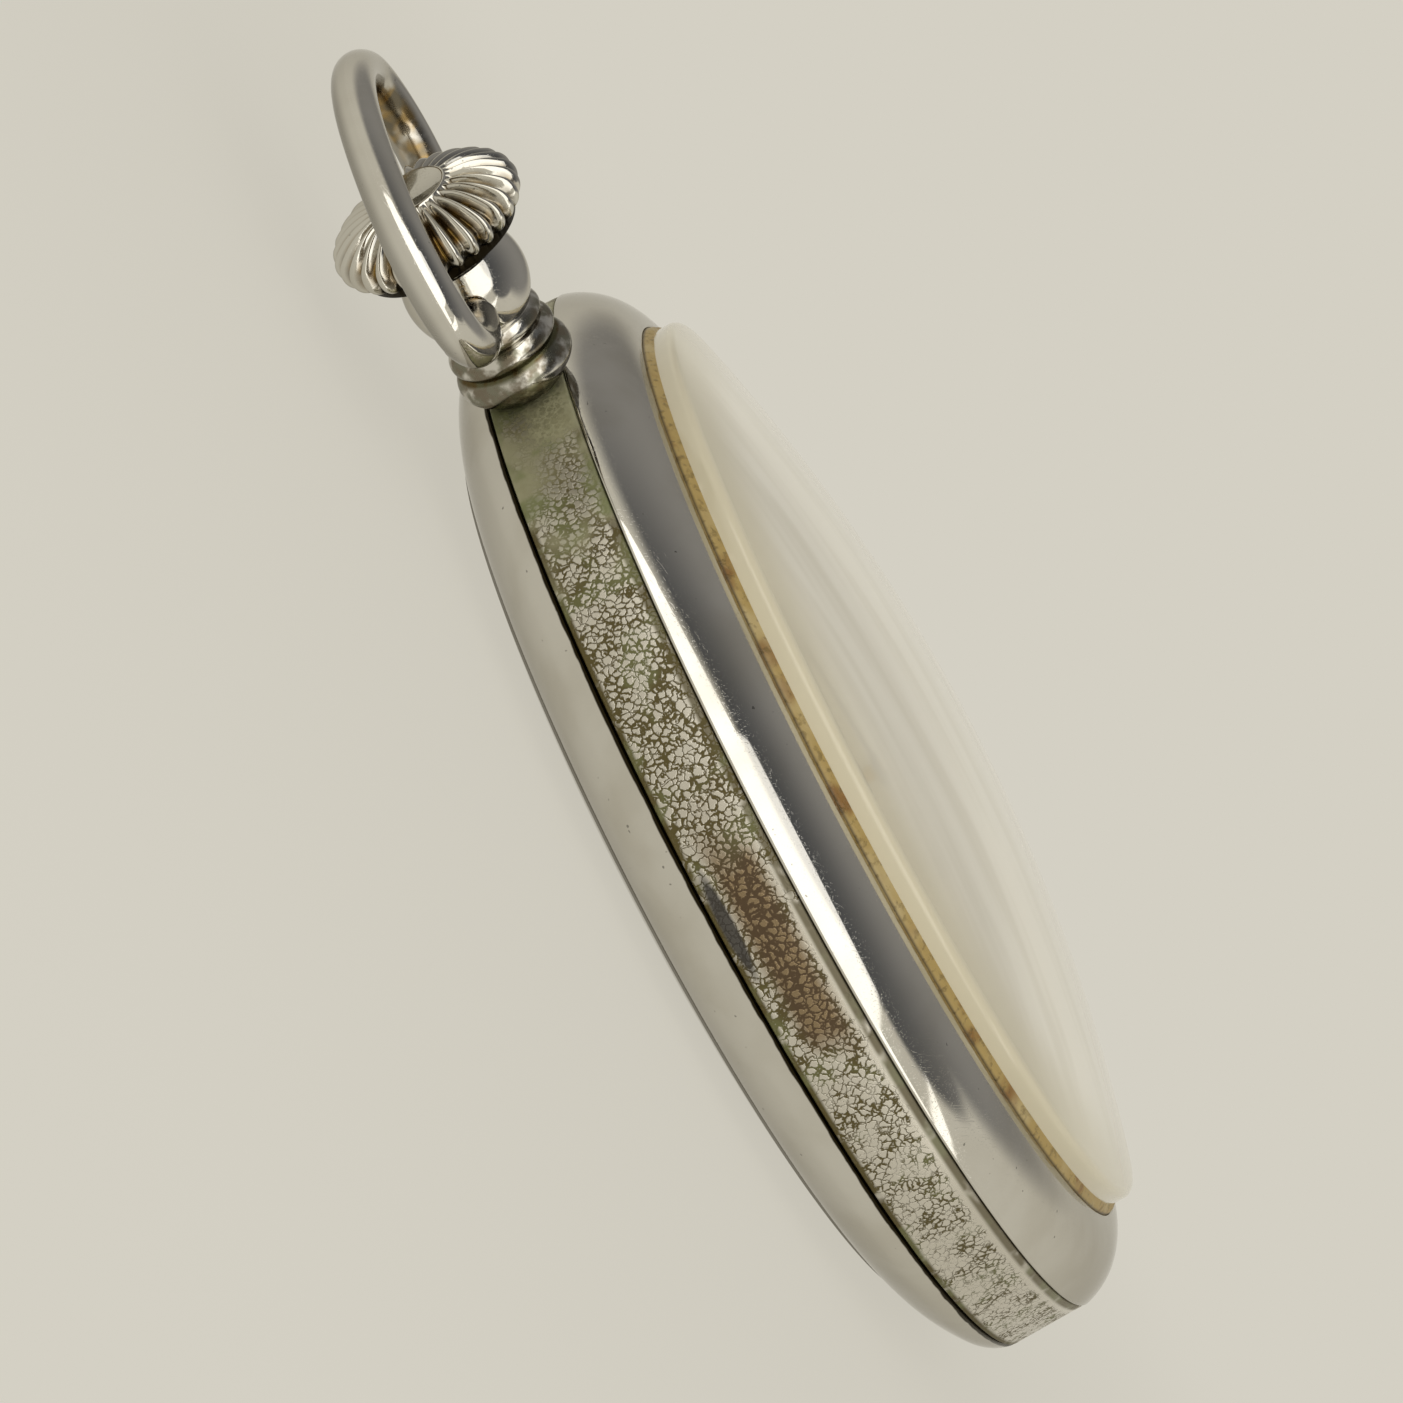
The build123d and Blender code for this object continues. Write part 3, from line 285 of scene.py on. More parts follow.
def polished_nickel(name, plate, tarnish=None):
    """Nickel plate, buffed to a mirror: sharp dark and bright reflections, with hair scratches,
    small pits and a faint film from years of handling."""
    material, tree, where = new_material(name)
    scratch = hairlines(tree, where, 0.06, 3.2)
    film = patches(tree, where, 5.0, 0.42, 0.7, detail=3.0)
    pit = patches(tree, where, 0.3, 0.77, 0.8, detail=1.0)
    faded = add(tree, "Math", {0: film, 1: 0.3}, operation="MULTIPLY")
    colour = add(tree, "Mix", {0: faded, 1: plate, 2: linear("b3ad9c")}, data_type="RGBA")
    speck = add(tree, "Math", {0: pit, 1: 0.6}, operation="MULTIPLY")
    colour = add(tree, "Mix", {0: speck, 1: colour, 2: linear("59564f")}, data_type="RGBA")
    rough = add(tree, "Math", {0: film, 1: 0.06, 2: 0.05}, operation="MULTIPLY_ADD")
    rough = add(tree, "Math", {0: scratch, 1: 0.12, 2: rough}, operation="MULTIPLY_ADD")
    if tarnish:
        amount, hue = tarnish(tree, where)
        colour = add(tree, "Mix", {0: amount, 1: colour, 2: hue}, data_type="RGBA")
        rough = add(tree, "Math", {0: amount, 1: 0.18, 2: rough}, operation="MULTIPLY_ADD")
    height = add(tree, "Math", {0: scratch, 1: -0.6, 2: 1.0}, operation="MULTIPLY_ADD")
    height = add(tree, "Math", {0: height, 1: pit}, operation="SUBTRACT")
    bump = add(tree, "Bump", {"Height": height, "Distance": 0.0015 * MM})
    surface = add(tree, "BsdfPrincipled", {
        "Base Color": colour, "Metallic": 1.0, "Roughness": rough, "Normal": bump,
        "Specular Tint": (0.7, 0.69, 0.67, 1)})
    add(tree, "OutputMaterial", {"Surface": surface})
    return material


def seam_dirt(tree, where):
    """Black-brown dirt in the back's lip, where it meets the band, and in its step line."""
    z = add(tree, "SeparateXYZ", {0: where}).outputs["Z"]
    ragged = patches(tree, where, 1.4, 0.3, 0.7, 0.06 * MM, 4.0)
    ragged = add(tree, "Math", {0: z, 1: ragged}, operation="ADD")
    lip = add(tree, "MapRange",
              {"Value": ragged, "From Min": (BACK_SEAM - 0.22) * MM,
               "From Max": (BACK_SEAM - 0.15) * MM}, interpolation_type="SMOOTHSTEP")
    off = add(tree, "Math", {0: from_axis(tree, where), 1: bowl(STEP_TURN)[0] * MM},
              operation="SUBTRACT")
    off = add(tree, "Math", {0: off}, operation="ABSOLUTE")
    line = add(tree, "MapRange", {"Value": off, "From Min": 0.05 * MM, "From Max": 0.1 * MM,
                                  "To Min": 0.6, "To Max": 0.0}, interpolation_type="SMOOTHSTEP")
    return add(tree, "Math", {0: lip, 1: line}, operation="MAXIMUM"), linear("2b2517")


def neck_tarnish(tree, where):
    """Verdigris and grey film in the grooves of the pendant's neck; the ball above is clean."""
    y = add(tree, "SeparateXYZ", {0: where}).outputs["Y"]
    neck = add(tree, "MapRange",
               {"Value": y, "From Min": (HINGE_Y - 1.9) * MM, "From Max": (HINGE_Y - 1.2) * MM,
                "To Min": 1.0, "To Max": 0.0}, interpolation_type="SMOOTHSTEP")
    patch = patches(tree, where, 0.8, 0.36, 0.54, 0.8, 4.0)
    middle = add(tree, "Math", {0: y, 1: (HINGE_Y - 3.25) * MM}, operation="SUBTRACT")
    middle = add(tree, "Math", {0: middle}, operation="ABSOLUTE")
    groove = add(tree, "MapRange", {"Value": middle, "From Min": 0.1 * MM, "From Max": 0.4 * MM,
                                    "To Min": 1.0, "To Max": 0.0}, interpolation_type="SMOOTHSTEP")
    amount = add(tree, "Math", {0: patch, 1: groove}, operation="MAXIMUM")
    amount = add(tree, "Math", {0: amount, 1: neck}, operation="MULTIPLY")
    brown = patches(tree, where, 0.6, 0.4, 0.6)
    hue = add(tree, "Mix", {0: brown, 1: linear("64624a"), 2: linear("5d4e30")}, data_type="RGBA")
    return amount, hue


def groove_tarnish(tree, where):
    """Golden-brown tarnish down in the crown's flutes, worn off their crests, and under its edge
    a near-black that is part dirt and part painted shade."""
    deep = add(tree, "Attribute", attribute_name="groove").outputs["Fac"]
    under = add(tree, "Attribute", attribute_name="under").outputs["Fac"]
    inside = add(tree, "MapRange", {"Value": deep, "From Min": 0.25, "From Max": 0.9})
    patch = patches(tree, where, 1.3, 0.25, 0.55, detail=3.0)
    amount = add(tree, "Math", {0: inside, 1: patch}, operation="MULTIPLY")
    amount = add(tree, "Math", {0: amount, 1: under}, operation="MAXIMUM")
    brown = patches(tree, where, 0.9, 0.4, 0.6)
    hue = add(tree, "Mix", {0: brown, 1: linear("7d6431"), 2: linear("54452a")}, data_type="RGBA")
    # the plain skirt under the crown's edge: near-black, part dirt and part painted shade
    hue = add(tree, "Mix", {0: under, 1: hue, 2: linear("1f1a10")}, data_type="RGBA")
    return amount, hue


def bow_tarnish(tree, where):
    """Brown-gold tarnish on the inner face of the bow, and painted shade in grey on the faces
    that turn downwards, towards the back."""
    inner = add(tree, "Attribute", attribute_name="inner").outputs["Fac"]
    down_shade = add(tree, "Attribute", attribute_name="down_shade").outputs["Fac"]
    inner = add(tree, "MapRange", {"Value": inner, "From Min": 0.3, "From Max": 0.7})
    gold = patches(tree, where, 1.5, 0.32, 0.55, 0.85, 3.0)
    gold = add(tree, "Math", {0: inner, 1: gold}, operation="MULTIPLY")
    # painted shade: a grey film laid on the faces that turn downwards
    film = add(tree, "MapRange",
               {"Value": down_shade, "From Min": 0.2, "From Max": 0.75, "To Max": 0.55},
               interpolation_type="SMOOTHSTEP")
    amount = add(tree, "Math", {0: gold, 1: film}, operation="MAXIMUM")
    brown = patches(tree, where, 1.2, 0.42, 0.6)
    hue = add(tree, "Mix", {0: brown, 1: linear("9a7a34"), 2: linear("5d523a")}, data_type="RGBA")
    # grey away from the inner face: the colour of the painted shade on faces turned down
    hue = add(tree, "Mix", {0: inner, 1: linear("7f7d76"), 2: hue}, data_type="RGBA")
    return amount, hue


def worn_nickel(corrosion):
    """Nickel plate on the band, eaten through to the brass along fine worm-like lines: a smooth
    olive film by the pendant, lines all over beside it, a brown stain half way round and nearly
    clean metal at the foot."""
    material, tree, where = new_material("worn_nickel_plate")
    axes = add(tree, "SeparateXYZ", {0: where})
    y, z = axes.outputs["Y"], axes.outputs["Z"]
    drift = patches(tree, where, 3.5, 0.25, 0.75, 4 * MM, 3.0)
    along = add(tree, "Math", {0: y, 1: drift}, operation="ADD")
    middle = add(tree, "Math", {0: z, 1: 5.4 * MM}, operation="SUBTRACT")
    middle = add(tree, "Math", {0: middle}, operation="ABSOLUTE")

    # where each kind of wear begins and ends, in millimetres along the watch or up the band
    zone = {}
    for name, place, low, high, first, last in (
            ("clean foot", along, 1.0, 9.0, 1.0, 0.0),
            ("olive", along, 23.6, 26.6, 0.0, 1.0),
            ("stain begins", along, 5.0, 9.0, 0.0, 1.0),
            ("stain ends", along, 15.0, 19.0, 1.0, 0.0),
            ("stain middle", middle, 0.5, 1.3, 1.0, 0.0),
            ("bare top", z, 6.3, 6.6, 0.0, 1.0),
            ("bare ends", along, 12.0, 16.0, 1.0, 0.0),
            ("low seam", z, BACK_SEAM + 0.14, BACK_SEAM + 0.34, 1.0, 0.0),
            ("high seam", z, BEZEL_SEAM - 0.42, BEZEL_SEAM - 0.22, 0.0, 0.85)):
        zone[name] = add(tree, "MapRange",
                         {"Value": place, "From Min": low * MM, "From Max": high * MM,
                          "To Min": first, "To Max": last}, interpolation_type="SMOOTHSTEP")
    olive = zone["olive"]
    stain = add(tree, "Math", {0: zone["stain begins"], 1: zone["stain ends"]},
                operation="MULTIPLY")
    stain = add(tree, "Math", {0: stain, 1: zone["stain middle"]}, operation="MULTIPLY")
    bare = add(tree, "Math", {0: zone["bare top"], 1: zone["bare ends"]}, operation="MULTIPLY")

    # the lines run between small rounded flakes of plate; reach is how wide they are eaten out
    wander = add(tree, "TexNoise", {"Vector": where, "Scale": 1 / (0.24 * MM), "Detail": 2.0})
    wander = add(tree, "VectorMath", {0: wander.outputs["Color"], 1: [0.34 * MM] * 3, 2: where},
                 operation="MULTIPLY_ADD")
    flake = add(tree, "TexVoronoi", {"Vector": wander, "Scale": 1 / (0.32 * MM)},
                feature="DISTANCE_TO_EDGE")
    reach = patches(tree, where, 0.9, 0.3, 0.75, 0.15, 3.0)
    for area, more in ((stain, 0.04), (zone["clean foot"], -0.06), (bare, -0.15)):
        reach = add(tree, "Math", {0: area, 1: more, 2: reach}, operation="MULTIPLY_ADD")
    depth = add(tree, "Math", {0: reach, 1: flake}, operation="SUBTRACT")
    lines = add(tree, "MapRange", {"Value": depth, "From Min": -0.11, "From Max": 0.0})
    seams = add(tree, "Math", {0: zone["low seam"], 1: zone["high seam"]}, operation="MAXIMUM")
    broken = patches(tree, where, 1.2, 0.2, 0.45)
    seams = add(tree, "Math", {0: seams, 1: broken}, operation="MULTIPLY")
    cover = add(tree, "Math", {0: lines, 1: seams}, operation="MAXIMUM")

    green = patches(tree, where, 2.2, 0.5, 0.62, detail=3.0)
    spots = add(tree, "Mix", {0: green, 1: corrosion, 2: linear("66653c")}, data_type="RGBA")
    spots = add(tree, "Mix", {0: stain, 1: spots, 2: linear("4d3a20")}, data_type="RGBA")
    tint = add(tree, "Math", {0: stain, 1: 0.9}, operation="MULTIPLY")
    plate = add(tree, "Mix", {0: tint, 1: linear("d6d1c5"), 2: linear("8a7350")}, data_type="RGBA")
    colour = add(tree, "Mix", {0: cover, 1: plate, 2: spots}, data_type="RGBA")
    mottle = add(tree, "Mix", {0: green, 1: linear("a3a080"), 2: linear("868a60")},
                 data_type="RGBA")
    colour = add(tree, "Mix", {0: olive, 1: colour, 2: mottle}, data_type="RGBA")

    # one dark oval smudge, 5 mm long, low on the band
    smudge = add(tree, "Mapping", {
        "Vector": where, "Location": (-22.28 * MM, 11.35 * MM, 4.05 * MM),
        "Rotation": (0, 0, math.radians(63)), "Scale": (2.5 * MM, 2.5 * MM, 0.32 * MM)},
                 vector_type="TEXTURE")
    smudge = add(tree, "VectorMath", {0: smudge}, operation="LENGTH").outputs["Value"]
    smudge = add(tree, "MapRange", {"Value": smudge, "From Min": 0.7, "From Max": 1.1,
                                    "To Min": 0.95, "To Max": 0.0})
    colour = add(tree, "Mix", {0: smudge, 1: colour, 2: linear("37332e")}, data_type="RGBA")

    film = add(tree, "Math", {0: olive, 1: 0.6}, operation="MULTIPLY")
    dull = add(tree, "Math", {0: cover, 1: film}, operation="MAXIMUM")
    dull = add(tree, "Math", {0: dull, 1: smudge}, operation="MAXIMUM")
    shine = add(tree, "MapRange", {"Value": dull, "To Min": 1.0, "To Max": 0.25})
    rough = add(tree, "MapRange", {"Value": dull, "To Min": 0.27, "To Max": 0.55})
    height = add(tree, "Math", {0: lines, 1: -1.0}, operation="MULTIPLY")
    smooth = add(tree, "Math", {0: 1.0, 1: olive}, operation="SUBTRACT")
    height = add(tree, "Math", {0: height, 1: smooth}, operation="MULTIPLY")
    bump = add(tree, "Bump", {"Height": height, "Distance": 0.02 * MM, "Strength": 0.8})
    surface = add(tree, "BsdfPrincipled", {
        "Base Color": colour, "Metallic": shine, "Roughness": rough, "Normal": bump})
    add(tree, "OutputMaterial", {"Surface": surface})
    return material


def aged_crystal():
    """Domed acrylic crystal, moulded and polished, cream with age: clear when looked into, milky
    when looked along and at its rim."""
    material, tree, where = new_material("aged_acrylic")
    haze = patches(tree, where, 6.0, 0.3, 0.7, 0.06, 3.0)
    rough = add(tree, "Math", {0: haze, 1: 0.03}, operation="ADD")
    scratch = hairlines(tree, where, 0.06, 3.0, 0.72)
    height = add(tree, "Math", {0: scratch, 1: -1.0}, operation="MULTIPLY")
    bump = add(tree, "Bump", {"Height": height, "Distance": 0.003 * MM})
    clear = add(tree, "BsdfPrincipled", {
        "Base Color": linear("fcfaf5"), "Roughness": rough, "IOR": 1.49,
        "Transmission Weight": 1.0, "Normal": bump})

    drawn = add(tree, "Mapping", {
        "Vector": where, "Rotation": (0, 0, math.radians(58)), "Scale": (9, 1, 1)},
                vector_type="TEXTURE")
    streak = patches(tree, drawn, 2.6, 0.42, 0.7)
    milk = add(tree, "Mix", {0: streak, 1: linear("efe9d8"), 2: linear("e2dbc8")},
               data_type="RGBA")
    out = from_axis(tree, where)
    rim = add(tree, "MapRange",
              {"Value": out, "From Min": (GLASS_HIGH.x - 4.5) * MM,
               "From Max": (GLASS_HIGH.x - 0.6) * MM, "To Max": 0.95},
              interpolation_type="SMOOTHSTEP")
    milk = add(tree, "Mix", {0: rim, 1: milk, 2: linear("d4cbb0")}, data_type="RGBA")
    milky = add(tree, "BsdfPrincipled", {
        "Base Color": milk, "Roughness": 0.12, "IOR": 1.49, "Coat Weight": 0.3})

    slant = add(tree, "LayerWeight", {"Blend": 0.5}).outputs["Facing"]
    share = add(tree, "MapRange", {"Value": slant, "From Min": 0.35, "From Max": 0.78,
                                   "To Min": 0.06, "To Max": 0.93},
                interpolation_type="SMOOTHSTEP")
    wall = add(tree, "MapRange",
               {"Value": out, "From Min": (GLASS_HIGH.x - 0.9) * MM,
                "From Max": (GLASS_HIGH.x - 0.3) * MM, "To Max": 0.95},
               interpolation_type="SMOOTHSTEP")
    share = add(tree, "Math", {0: share, 1: wall}, operation="MAXIMUM")
    mixed = add(tree, "MixShader", {0: share, 1: clear, 2: milky})

    # the light that falls on the dial passes straight through
    rays = add(tree, "LightPath").outputs
    passing = add(tree, "Math", {0: rays["Is Shadow Ray"], 1: rays["Is Diffuse Ray"]},
                  operation="MAXIMUM")
    through = add(tree, "BsdfTransparent", {"Color": linear("fbf9f5")})
    mixed = add(tree, "MixShader", {0: passing, 1: mixed, 2: through})
    add(tree, "OutputMaterial", {"Surface": mixed})
    return material


def old_cement(amber):
    """Shellac cement run round the crystal by hand: golden yellow, crumbly, rust-brown where
    dirt lies in it, dark along its foot on the bezel."""
    material, tree, where = new_material("shellac_cement")
    rust = patches(tree, where, 2.2, 0.52, 0.66, detail=3.0)
    colour = add(tree, "Mix", {0: rust, 1: amber, 2: linear("84602c")}, data_type="RGBA")
    pale = patches(tree, where, 3.1, 0.5, 0.65, 0.6)
    colour = add(tree, "Mix", {0: pale, 1: colour, 2: linear("b8a678")}, data_type="RGBA")
    crumb = patches(tree, where, 0.3, 0.5, 0.72, detail=3.0)
    dark = add(tree, "Math", {0: crumb, 1: 0.6}, operation="MULTIPLY")
    colour = add(tree, "Mix", {0: dark, 1: colour, 2: linear("6b5a2c")}, data_type="RGBA")
    z = add(tree, "SeparateXYZ", {0: where}).outputs["Z"]
    foot = add(tree, "MapRange",
               {"Value": z, "From Min": (BEZEL_HIGH.z - 0.02) * MM,
                "From Max": (BEZEL_HIGH.z + 0.12) * MM, "To Min": 0.85, "To Max": 0.0},
               interpolation_type="SMOOTHSTEP")
    colour = add(tree, "Mix", {0: foot, 1: colour, 2: linear("4a3c1e")}, data_type="RGBA")
    bump = add(tree, "Bump", {"Height": crumb, "Distance": 0.05 * MM, "Strength": 0.7})
    surface = add(tree, "BsdfPrincipled", {
        "Base Color": colour, "Roughness": 0.5, "IOR": 1.52, "Normal": bump})
    add(tree, "OutputMaterial", {"Surface": surface})
    return material


def cream_enamel():
    """Vitreous enamel fired on copper and glazed: cream with faint clouds, softly glossy."""
    material, tree, where = new_material("cream_enamel")
    cloud = patches(tree, where, 4.0, 0.35, 0.7, detail=3.0)
    colour = add(tree, "Mix", {0: cloud, 1: linear("f1ece0"), 2: linear("e9e3d3")},
                 data_type="RGBA")
    ripple = patches(tree, where, 0.8, 0.2, 0.8)
    bump = add(tree, "Bump", {"Height": ripple, "Distance": 0.003 * MM, "Strength": 0.5})
    surface = add(tree, "BsdfPrincipled", {
        "Base Color": colour, "Roughness": 0.22, "IOR": 1.5, "Normal": bump})
    add(tree, "OutputMaterial", {"Surface": surface})
    return material


def fired_ink():
    """Black print fired into the enamel, a hair's breadth proud and slightly uneven."""
    material, tree, where = new_material("fired_black_print")
    thin = patches(tree, where, 0.25, 0.3, 0.7)
    colour = add(tree, "Mix", {0: thin, 1: linear("14130f"), 2: linear("2b2822")},
                 data_type="RGBA")
    surface = add(tree, "BsdfPrincipled", {"Base Color": colour, "Roughness": 0.4, "IOR": 1.5})
    add(tree, "OutputMaterial", {"Surface": surface})
    return material


def machined(name, light, dark, rough, grain, drawn=1.0, depth=0.002):
    """A ground or frosted metal: a fine grain, drawn times as long along X as it is wide, that
    spreads the light into a silky sheen."""
    material, tree, where = new_material(name)
    lay = add(tree, "Mapping", {"Vector": where, "Scale": (drawn, 1, 1)}, vector_type="TEXTURE")
    fine = patches(tree, lay, grain, 0.3, 0.7, detail=3.0)
    cloud = patches(tree, where, 3.0, 0.35, 0.7, detail=3.0)
    colour = add(tree, "Mix", {0: cloud, 1: linear(light), 2: linear(dark)}, data_type="RGBA")
    rough = add(tree, "Math", {0: fine, 1: rough * 0.45, 2: rough * 0.8},
                operation="MULTIPLY_ADD")
    bump = add(tree, "Bump", {"Height": fine, "Distance": depth * MM, "Strength": 0.6})
    surface = add(tree, "BsdfPrincipled", {
        "Base Color": colour, "Metallic": 1.0, "Roughness": rough, "Normal": bump})
    add(tree, "OutputMaterial", {"Surface": surface})
    return material


def ruby():
    """Synthetic ruby bearings, polished: deep red, with some light passing through them."""
    material, tree, where = new_material("synthetic_ruby")
    cloud = patches(tree, where, 0.9, 0.35, 0.65)
    colour = add(tree, "Mix", {0: cloud, 1: linear("b01836"), 2: linear("7d0f24")},
                 data_type="RGBA")
    surface = add(tree, "BsdfPrincipled", {
        "Base Color": colour, "Roughness": 0.05, "IOR": 1.77, "Transmission Weight": 0.35})
    add(tree, "OutputMaterial", {"Surface": surface})
    return material


# ---- pieces -----------------------------------------------------------------------------
class STOPWATCH_OT_case(bpy.types.Operator):
    """Builds the back with its fine step line, the band and the bezel"""

    bl_idname = "stopwatch.case"
    bl_label = "Case"

    def execute(self, context):
        settings = context.scene.stopwatch
        r, low, seam, land, wall = CASE_R, BAND_LOW.z, BACK_SEAM, CASE_R - BULGE, 0.6
        (half_r, half_z), (step_r, step_z) = bowl(STEP_TURN / 2), bowl(STEP_TURN)
        lip = r - 0.75
        bm = turned([
            (0, 0), (land, 0), ((half_r, half_z - 0.04), (step_r, step_z - 0.09), 16),
            (step_r + 0.01, step_z), (bowl(55), bowl(71), 14), (bowl(80), bowl(88.3), 10),
            (r - 0.08, seam - HALF_GAP), (lip, seam - HALF_GAP), (lip, seam - 0.75),
            (r - 1.0, seam - 1.2), ((r - 3.7, 1.25), (land, wall), 16), (0, wall)],
                    settings.turn_steps)
        plate = polished_nickel("nickel_plate_back", settings.nickel, seam_dirt)
        finish_piece(bm, "back", plate, "back", "back_cover", sharp=25)

        high, rebate, inside = BEZEL_SEAM, r - 0.78, r - 1.63
        bed, bore, shelf = DIAL_HIGH.x - 1.4, DIAL_HIGH.x - 2.6, 5.8  # the movement sits in these
        rest = DIAL_HIGH.x + 0.1
        bm = turned([
            (rebate, low), (rebate, seam), (r - 0.07, seam),
            ((r - 0.02, seam + 0.02), (r, seam + 0.07), 3), (r - 0.16, high - 0.12),
            ((r - 0.19, high - 0.03), (r - 0.28, high), 3), (r - 1, high), (r - 1, BAND_HIGH.z),
            (rest, BAND_HIGH.z), (rest, high + 0.2), (bed, high + 0.2), (bed, shelf),
            (bore, shelf), (bore, seam + 0.6), (inside, seam + 0.6), (inside, low)],
                    settings.turn_steps)
        band = finish_piece(bm, "band", worn_nickel(settings.corrosion), "case", "case_middle")
        drill(band, [(1.4, (0, r - 1.4, STEM_Z), (0, r + 1, STEM_Z)),
                     (1.3, (0, r - 6, STEM_Z), (0, r - 1.3, STEM_Z))])

        r, low, top = BEZEL_HIGH.x, BEZEL_LOW.z, BEZEL_HIGH.z
        seat, rim, skirt = GLASS_LOW.z, CEMENT_HIGH.x, r - 0.81
        bm = turned([
            (skirt, low + 0.8), (skirt, low), (r - 0.09, low),
            ((r - 0.02, low + 0.03), (r, low + 0.12), 3),
            ((r - 0.94, low + 1.7), (rim + 0.15, top - 0.02), 28),
            ((rim + 0.05, top - 0.01), (rim, top - 0.06), 3), (rim, seat), (rim - 0.9, seat),
            (rim - 0.9, seat - 0.5), (rim + 0.73, low + 0.8)], settings.turn_steps)
        plate = polished_nickel("nickel_plate_bezel", settings.nickel)
        finish_piece(bm, "bezel_piece", plate, "bezel_ring", "bezel")
        return {"FINISHED"}


class STOPWATCH_OT_crystal(bpy.types.Operator):
    """Builds the domed crystal and the cement that holds it"""

    bl_idname = "stopwatch.crystal"
    bl_label = "Crystal"

    def execute(self, context):
        settings = context.scene.stopwatch
        r, seat, top = GLASS_HIGH.x, GLASS_LOW.z, GLASS_HIGH.z
        bm = turned([
            (0, top - 1.1), ((r / 2 + 0.25, top - 1.78), (r - 1.2, seat + 1.2), 24),
            ((r - 1.11, seat + 1.15), (r - 1.1, seat + 1.05), 3), (r - 1.1, seat + 0.05),
            (r - 1.05, seat), (r - 0.1, seat), (r, seat + 0.1), (r, seat + 1.7),
            ((r - 0.04, seat + 1.96), (r - 0.3, seat + 2.16), 6),
            ((r / 2 + 0.15, top - 0.74), (0, top), 40)], settings.turn_steps)
        finish_piece(bm, "crystal_dome", aged_crystal(), "bezel_ring", "crystal",
                     sharp=60)

        rim, lip = CEMENT_HIGH.x, BEZEL_HIGH.z
        bm = turned([(r, seat), (rim, seat), (rim, lip - 0.02),
                     ((rim - 0.08, lip + 0.22), (r, lip + 0.38), 5)], settings.turn_steps)
        for v in bm.verts:  # its upper edge was run by hand, so it rises and falls
            if v.co.z > (lip + 0.04) * MM and v.co.xy.length > (r + 0.02) * MM:
                turn = math.atan2(v.co.y, v.co.x)
                fall = 0.05 + 0.04 * math.sin(37 * turn) + 0.03 * math.sin(101 * turn + 1.0)
                v.co.z -= fall * MM
        finish_piece(bm, "cement_ring", old_cement(settings.cement), "bezel_ring",
                     "crystal_cement")
        return {"FINISHED"}


class STOPWATCH_OT_pendant(bpy.types.Operator):
    """Builds the pendant: three turned rings and a ball for the bow"""

    bl_idname = "stopwatch.pendant"
    bl_label = "Pendant"

    def execute(self, context):
        settings = context.scene.stopwatch
        foot, stub, top, bore = CASE_R + 0.03, PENDANT_LOW.y, PENDANT_HIGH.y, 1.05
        bm = turned([
            (bore, stub), (1.4, stub), (1.4, foot), (1.75, foot + 0.03), (2.25, foot + 0.47),
            ((2.58, foot + 1.17), (2.2, foot + 1.87), 14),
            ((2.4, foot + 2.3), (2.0, foot + 2.8), 12),
            ((2.25, foot + 3.2), (2.05, foot + 3.57), 10), (2.05, foot + 3.62),
            ((BALL_R, top - 1.5), (2.3, top - 0.09), 26), ((2.25, top - 0.02), (2.16, top), 4),
            (1.95, top), (bore, top - 0.5)], 128)
        lay_on_stem(bm)
        plate = polished_nickel("nickel_plate_neck", settings.nickel, neck_tarnish)
        pendant = finish_piece(bm, "pendant_piece", plate, "case", "pendant",
                               sharp=30)
        drill(pendant, [(0.73, (side * (BALL_R - 1.25), HINGE_Y, STEM_Z),
                         (side * (BALL_R + 1), HINGE_Y, STEM_Z)) for side in (-1, 1)])
        return {"FINISHED"}


class STOPWATCH_OT_crown(bpy.types.Operator):
    """Builds the fluted crown: a plain skirt below, a flat disc on top, hollow over the ball"""

    bl_idname = "stopwatch.crown"
    bl_label = "Crown"

    def execute(self, context):
        settings = context.scene.stopwatch
        r, foot, top, tube = CROWN_HIGH.x, CROWN_FOOT, CROWN_HIGH.y, CROWN_LOW.y
        skirt, disc = 0.39, 1.7  # the flutes run from the skirt's height to the disc's radius
        bm = turned([
            (0, foot + 2.05), (0.55, foot + 2.05), (0.55, tube), (1.0, tube), (1.0, foot + 0.7),
            (r - 1.25, foot + 0.7), (r - 1.25, foot + 0.05), (r - 1.2, foot), (r - 0.8, foot),
            (r - 0.75, foot + 0.05), (r - 0.75, foot + 0.37), (r - 0.65, foot + 0.4),
            ((r, foot + 1.17), (r - 0.24, foot + 1.83), 22),
            ((r - 1.0, foot + 2.33), (1.85, foot + 2.65), 24), (1.66, foot + 2.67),
            (1.64, top - 0.02), (1.6, top), (1.5, top), (1.44, top - 0.06), (0, top - 0.06)],
                    settings.flutes * 12)
        groove, under = (bm.verts.layers.float.new(name) for name in ("groove", "under"))
        bm.normal_update()
        for v in bm.verts:
            height, reach = v.co.z / MM - foot, v.co.xy.length / MM
            dip = abs(math.sin(settings.flutes / 2 * math.atan2(v.co.y, v.co.x))) ** 2.2
            # this mask takes in the plain skirt and the flutes' lower ends, painted near-black as
            # dirt and shade
            v[under] = min(1.0, max(0.0, (0.5 + 0.35 * dip - height) / 0.12))
            if height > skirt and reach > disc:
                share = min(1.0, 0.35 + 1.6 * (height - skirt), 0.3 + (reach - disc) / 0.9)
                v.co -= v.normal * settings.flute_depth * share * dip
                v[groove] = dip
        lay_on_stem(bm)
        plate = polished_nickel("nickel_plate_crown", linear("d6d3ca"), groove_tarnish)
        finish_piece(bm, "crown_piece", plate, "stem", "crown", sharp=55)
        return {"FINISHED"}


